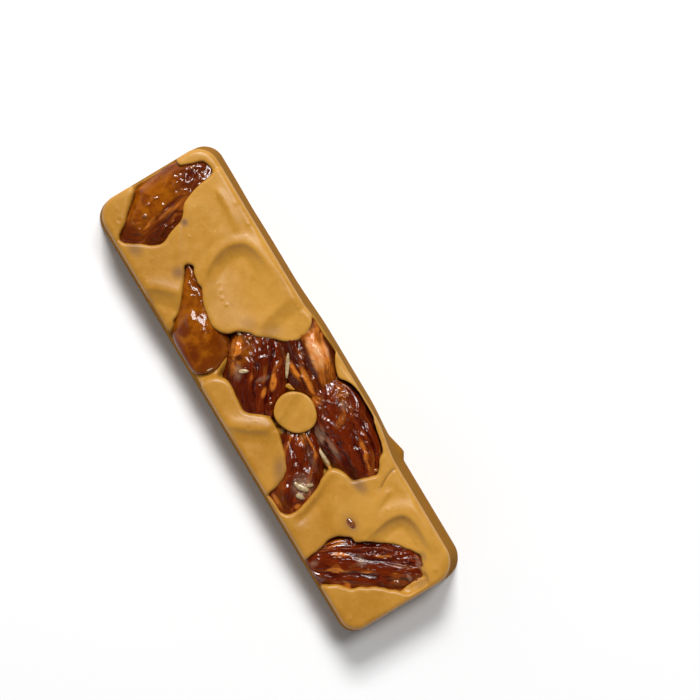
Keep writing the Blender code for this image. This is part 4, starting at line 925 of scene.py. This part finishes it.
def chocolate_material():
    n = Nodes("blond_chocolate_satin")
    p = n.where()
    broad = n.noise(p, 0.11, 3.0)
    cloud = n.noise(p, 0.55, 4.0, 0.6)
    grain = n.noise(p, 3.2, 3.0, 0.6)
    colour = n.mix(n.ramp(broad, 0.35, 0.68), rgba(0.475, 0.219, 0.024), rgba(0.560, 0.272, 0.039))
    colour = n.mix(n.ramp(cloud, 0.38, 0.68, 0.0, 0.45), colour, rgba(0.580, 0.290, 0.045))
    colour = n.mix(n.ramp(grain, 0.62, 0.80, 0.0, 0.35), colour, rgba(0.450, 0.200, 0.018))
    # Fine pale flecks, scattered over the face.
    cells = n.new("ShaderNodeTexVoronoi", Scale=0.62, Vector=p)
    flecks = n.ramp(cells.outputs["Distance"], 0.055, 0.13, 1.0, 0.0)
    flecks = n.math("MULTIPLY", flecks, n.ramp(n.noise(p, 0.33, 1.0), 0.50, 0.62))
    colour = n.mix(n.math("MULTIPLY", flecks, 0.42), colour, rgba(0.78, 0.46, 0.14))
    stain = n.math("MULTIPLY", n.attribute("stain"), n.ramp(cloud, 0.25, 0.62, 0.65, 1.0))
    colour = n.mix(stain, colour, rgba(0.165, 0.085, 0.052))
    # Painted shade: a dark line down the crack.
    colour = n.mix(n.attribute("crack"), colour, rgba(0.13, 0.055, 0.012))
    # Painted shade: the face is made darker towards the -Y side, a little more so towards +X, as the light falls off
    # there.
    colour = n.mix(n.attribute("deep"), colour, rgba(0.87, 0.83, 0.70), "MULTIPLY")
    # Painted shade: the walls are mixed towards a dark brown, as if they stood in shade.
    share = n.attribute("wall")
    colour = n.mix(n.math("MULTIPLY", share, 0.95), colour, rgba(0.255, 0.106, 0.011))
    n.put(n.shader, "Base Color", colour)
    face = n.ramp(cloud, 0.3, 0.7, 0.33, 0.41)
    # The walls are duller than the face.
    n.put(n.shader, "Roughness", n.math("ADD", n.math("MULTIPLY", face, n.math("SUBTRACT", 1.0, share)), n.math("MULTIPLY", share, 1.0)))
    n.put(n.shader, "Specular IOR Level", n.ramp(share, 0.0, 1.0, 0.36, 0.04))
    n.shader.inputs["Subsurface Weight"].default_value = 0.10
    n.shader.inputs["Subsurface Radius"].default_value = (0.0011, 0.0006, 0.0002)
    n.shader.inputs["Subsurface Scale"].default_value = 1.0
    rough = n.bump(grain, 0.20, 0.00006)
    rough = n.bump(n.noise(p, 1.1, 4.0, 0.65), 0.30, 0.00016, rough)
    n.put(n.shader, "Normal", rough)
    return n.material


def almond_material(name, tone):
    """Glaze over roasted skin. tone runs from dark caramel (0) to honey (1)."""
    n = Nodes(name)
    n.local = True
    p = n.where()
    along = n.where((0.16, 1.0, 1.0))
    streaky = n.noise(along, 1.5, 4.0, 0.6, 0.3)
    cloud = n.noise(p, 0.42, 4.0, 0.6)
    speck = n.noise(p, 1.9, 3.0, 0.6)
    amber, vein, dark, pale, furrow, rough = (n.attribute(k) for k in ("amber", "vein", "dark", "pale", "furrow", "rough"))

    def tones(a, b):
        return rgba(*(x * (1.0 - tone) + y * tone for x, y in zip(a, b)))

    # Darker down the furrows: partly the skin's own colour, partly painted shade.
    colour = n.mix(n.ramp(furrow, 0.15, 0.85), tones((0.044, 0.0014, 0.0003), (0.100, 0.016, 0.002)), tones((0.122, 0.012, 0.0010), (0.208, 0.047, 0.0025)))
    colour = n.mix(n.ramp(streaky, 0.46, 0.72, 0.0, 0.55), colour, tones((0.222, 0.030, 0.0030), (0.312, 0.086, 0.006)))
    colour = n.mix(n.ramp(streaky, 0.42, 0.26, 0.0, 0.6), colour, tones((0.030, 0.0025, 0.001), (0.090, 0.014, 0.002)))
    lines = n.math("MULTIPLY", n.ramp(n.noise(n.where((0.11, 1.0, 1.0)), 2.6, 3.0, 0.6, 0.4), 0.46, 0.33), 0.85 - 0.65 * tone)
    colour = n.mix(lines, colour, tones((0.016, 0.0012, 0.0006), (0.060, 0.008, 0.001)))
    # Honey, veins and pale patches are mostly the glaze's own colours; on the far-left almond they also paint a
    # highlight's halo and spot.
    honey = n.mix(n.ramp(cloud, 0.36, 0.62), rgba(0.170, 0.033, 0.001), rgba(0.300, 0.080, 0.002))
    colour = n.mix(n.math("MULTIPLY", amber, n.ramp(speck, 0.28, 0.55, 0.82, 1.0)), colour, honey)
    colour = n.mix(n.math("MINIMUM", n.math("MULTIPLY", vein, n.ramp(speck, 0.30, 0.58, 0.55, 1.0)), 1.0), colour, rgba(0.58, 0.170, 0.018))
    # Dark patches: mostly the skin's own, but painted shade on the teardrop's right end and, in part, along the
    # far-left almond's groove.
    colour = n.mix(n.math("MULTIPLY", dark, n.ramp(cloud, 0.32, 0.60, 0.7, 1.0)), colour, tones((0.040, 0.0035, 0.001), (0.105, 0.012, 0.002)))
    light = min(1.0, 2.6 * tone)
    colour = n.mix(pale, colour, rgba(0.42 + 0.46 * light, 0.25 + 0.22 * light, 0.15 + 0.04 * light))
    n.put(n.shader, "Base Color", colour)
    n.put(n.shader, "Roughness", n.ramp(cloud, 0.3, 0.7, 0.42, 0.56))
    n.shader.inputs["Specular IOR Level"].default_value = 0.0
    n.shader.inputs["Coat Weight"].default_value = 0.78
    n.shader.inputs["Coat IOR"].default_value = 1.5
    n.shader.inputs["Coat Roughness"].default_value = 0.05
    bump = n.bump(streaky, 0.35, 0.00012)
    bump = n.bump(n.noise(p, 1.6, 3.0, 0.6), 0.35, 0.00016, bump)
    n.put(n.shader, "Normal", bump)
    glaze = n.bump(n.noise(p, 1.1, 3.0, 0.55), 0.26 - 0.16 * tone, 0.00018)
    n.put(n.shader, "Coat Normal", n.bump(lines, 0.30, -0.00010, glaze))
    return n.material


def seed_material():
    n = Nodes("toasted_seed")
    p = n.where()
    colour = n.mix(n.ramp(n.noise(p, 1.3, 3.0), 0.35, 0.7), rgba(0.33, 0.22, 0.10), rgba(0.54, 0.40, 0.22))
    colour = n.mix(n.ramp(n.noise(p, 4.0, 2.0), 0.60, 0.78, 0.0, 0.6), colour, rgba(0.40, 0.22, 0.07))
    n.put(n.shader, "Base Color", colour)
    n.put(n.shader, "Roughness", n.ramp(n.noise(p, 2.0, 2.0), 0.3, 0.7, 0.26, 0.42))
    n.shader.inputs["Coat Weight"].default_value = 0.6
    n.shader.inputs["Coat Roughness"].default_value = 0.12
    n.put(n.shader, "Normal", n.bump(n.noise(p, 3.5, 3.0), 0.4, 0.00010))
    return n.material


def bead_material():
    n = Nodes("glaze_bead")
    p = n.where()
    colour = n.mix(n.ramp(n.noise(p, 1.0, 3.0), 0.35, 0.7), rgba(0.10, 0.020, 0.004), rgba(0.34, 0.12, 0.03))
    n.put(n.shader, "Base Color", colour)
    n.put(n.shader, "Roughness", n.ramp(n.noise(p, 1.5, 2.0), 0.3, 0.7, 0.08, 0.18))
    n.shader.inputs["Coat Weight"].default_value = 1.0
    n.shader.inputs["Coat Roughness"].default_value = 0.04
    n.put(n.shader, "Normal", n.bump(n.noise(p, 2.0, 2.0), 0.3, 0.00010))
    return n.material


def floor_material():
    n = Nodes("pale_floor")
    p = n.where()
    n.put(n.shader, "Base Color", n.mix(n.noise(p, 0.01, 2.0), rgba(0.90, 0.90, 0.90), rgba(0.915, 0.915, 0.915)))
    n.shader.inputs["Roughness"].default_value = 0.9
    n.shader.inputs["Specular IOR Level"].default_value = 0.1
    return n.material


# =====================================================================================================================
# Build
# =====================================================================================================================
chocolate, plain = make_chocolate()
x, y, z = plain.T
stain = np.zeros(len(plain))
for cx, cy, rx, ry, turn, strength in STAINS:
    stain = np.maximum(stain, strength * blob(x, y, cx, cy, rx, ry, turn, 0.8))
stain = stain * smoothstep(11.0, 12.5, z)
# Painted shade in the crack: a thin dark line along it.
distance, side, along = path_field(x, y, spline(CRACK, step=0.3))
crack = 0.7 * np.exp(-((distance / 0.16) ** 2)) * smoothstep(0.0, 0.1, along) * smoothstep(0.0, 0.35, 1.0 - along)
add_attribute(chocolate, "stain", stain)
add_attribute(chocolate, "crack", crack)
# Painted shade: how much darker the face is made towards -Y, and a little more towards +X.
add_attribute(chocolate, "deep", smoothstep(8.0, -13.0, y) * (0.85 + 0.15 * smoothstep(-45.0, 30.0, x)))
# Where the walls are: their colour is darkened as painted shade, and their surface is made rougher and less shiny.
add_attribute(chocolate, "wall", smoothstep(-0.55, -0.1, wall_field(x, y, z, lookup(FAR_BASE, XS, YS, x, y), lookup(FAR_FACE, XS, YS, x, y), lookup(SPUR, XS, YS, x, y))) * (1.0 - smoothstep(11.4, 13.2, z)))
chocolate.data.materials.append(chocolate_material())
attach(chocolate, "root")
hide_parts("chocolate_bar")

ground = Ground()
ground.add(plain + np.array([0.0, SHIFT_Y, 0.0]), [tuple(f.vertices) for f in chocolate.data.polygons])
for number, name in enumerate(ALMONDS):
    nut, world, faces = make_almond(name, number)
    tone = ALMONDS[name]["tone"]
    nut.data.materials.append(almond_material(f"glaze_{name}", tone))
    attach(nut, "root")
    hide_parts(name)
    ground.add(world, faces)

pieces = []
for sx, sy, length, width, turn in SEEDS:
    shape, faces = seed_shape(length, width, width * 0.5, turn)
    pieces.append((laid(ground, sx, sy, shape, 0.08), faces))
for (x0, y0), (x1, y1), width in SLIVERS:
    length, turn = math.hypot(x1 - x0, y1 - y0), math.degrees(math.atan2(y1 - y0, x1 - x0))
    shape, faces = seed_shape(length, width, 0.5, turn, point=0.5, rings=20)
    pieces.append((laid(ground, (x0 + x1) / 2, (y0 + y1) / 2, shape, 0.12), faces))
seeds = joined("sesame_seeds", pieces)
seeds.data.materials.append(seed_material())
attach(seeds, "root")

pieces = []
for bx, by, radius in BEADS_OF_GLAZE:
    shape, faces = seed_shape(radius * 2.2, radius * 1.8, radius * 1.1, 37.0 * bx, point=0.5)
    pieces.append((laid(ground, bx, by, shape, 0.0), faces))
# The tip of one more almond just breaks the face.
shape, faces = seed_shape(2.9, 1.6, 1.1, 8.0, point=0.55, rings=20, sides=20)
pieces.append((laid(ground, 32.6, -1.1, shape, -0.18), faces))
beads = joined("glaze_beads", pieces)
beads.data.materials.append(bead_material())
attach(beads, "root")

# =====================================================================================================================
# Floor, light and camera
# =====================================================================================================================
floor_mesh = bpy.data.meshes.new("floor")
floor_mesh.from_pydata([(-3, -3, 0), (3, -3, 0), (3, 3, 0), (-3, 3, 0)], [], [(0, 1, 2, 3)])
floor = bpy.data.objects.new("floor", floor_mesh)
floor.location.z = -0.00002
bpy.context.scene.collection.objects.link(floor)
floor_mesh.materials.append(floor_material())


def area_light(name, azimuth, lean, distance, size, energy, colour=(1.0, 1.0, 1.0)):
    """A square light that faces the bar. azimuth is its direction in plan, lean its angle from straight above."""
    data = bpy.data.lights.new(name, "AREA")
    data.shape = "SQUARE"
    data.size = size
    data.energy = energy
    data.color = colour
    light = bpy.data.objects.new(name, data)
    a, t = math.radians(azimuth), math.radians(lean)
    light.location = Vector((math.cos(a) * math.sin(t), math.sin(a) * math.sin(t), math.cos(t))) * distance
    light.rotation_euler = light.location.to_track_quat("Z", "Y").to_euler()
    bpy.context.scene.collection.objects.link(light)


area_light("key", 150.0, 42.0, 2.0, 0.55, 36.5)
area_light("second", 116.0, 27.0, 2.0, 0.45, 14.0)

world = bpy.data.worlds.new("studio")
world.use_nodes = True
bpy.context.scene.world = world
nodes, links = world.node_tree.nodes, world.node_tree.links
background = nodes["Background"]
direction = nodes.new("ShaderNodeTexCoord").outputs["Generated"]
split = nodes.new("ShaderNodeSeparateXYZ")
links.new(direction, split.inputs[0])
height = nodes.new("ShaderNodeMapRange")
height.interpolation_type = "SMOOTHSTEP"
links.new(split.outputs["Z"], height.inputs["Value"])
height.inputs["From Min"].default_value = 0.25
height.inputs["From Max"].default_value = 0.76
height.inputs["To Min"].default_value = 0.70
height.inputs["To Max"].default_value = 0.06
# The studio is dimmer on the +Y side.
side = nodes.new("ShaderNodeMapRange")
side.interpolation_type = "SMOOTHSTEP"
links.new(split.outputs["Y"], side.inputs["Value"])
side.inputs["From Min"].default_value = -0.1
side.inputs["From Max"].default_value = 0.7
side.inputs["To Min"].default_value = 1.0
side.inputs["To Max"].default_value = 0.22
product = nodes.new("ShaderNodeMath")
product.operation = "MULTIPLY"
links.new(height.outputs["Result"], product.inputs[0])
links.new(side.outputs["Result"], product.inputs[1])
links.new(product.outputs[0], background.inputs["Strength"])
background.inputs["Color"].default_value = (1.0, 1.0, 1.0, 1.0)

camera_data = bpy.data.cameras.new("camera")
camera_data.sensor_width = 36.0
camera_data.lens = 82.57
camera_data.clip_start = 0.01
camera_data.clip_end = 20.0
camera = bpy.data.objects.new("camera", camera_data)
camera.location = (0.816 * MM, (17.617 + SHIFT_Y) * MM, 355.0 * MM)
camera.rotation_euler = Euler((0.0, 0.0, math.radians(59.12)))
bpy.context.scene.collection.objects.link(camera)
bpy.context.scene.camera = camera
bpy.context.scene.view_settings.view_transform = "Standard"

bpy.context.view_layer.update()
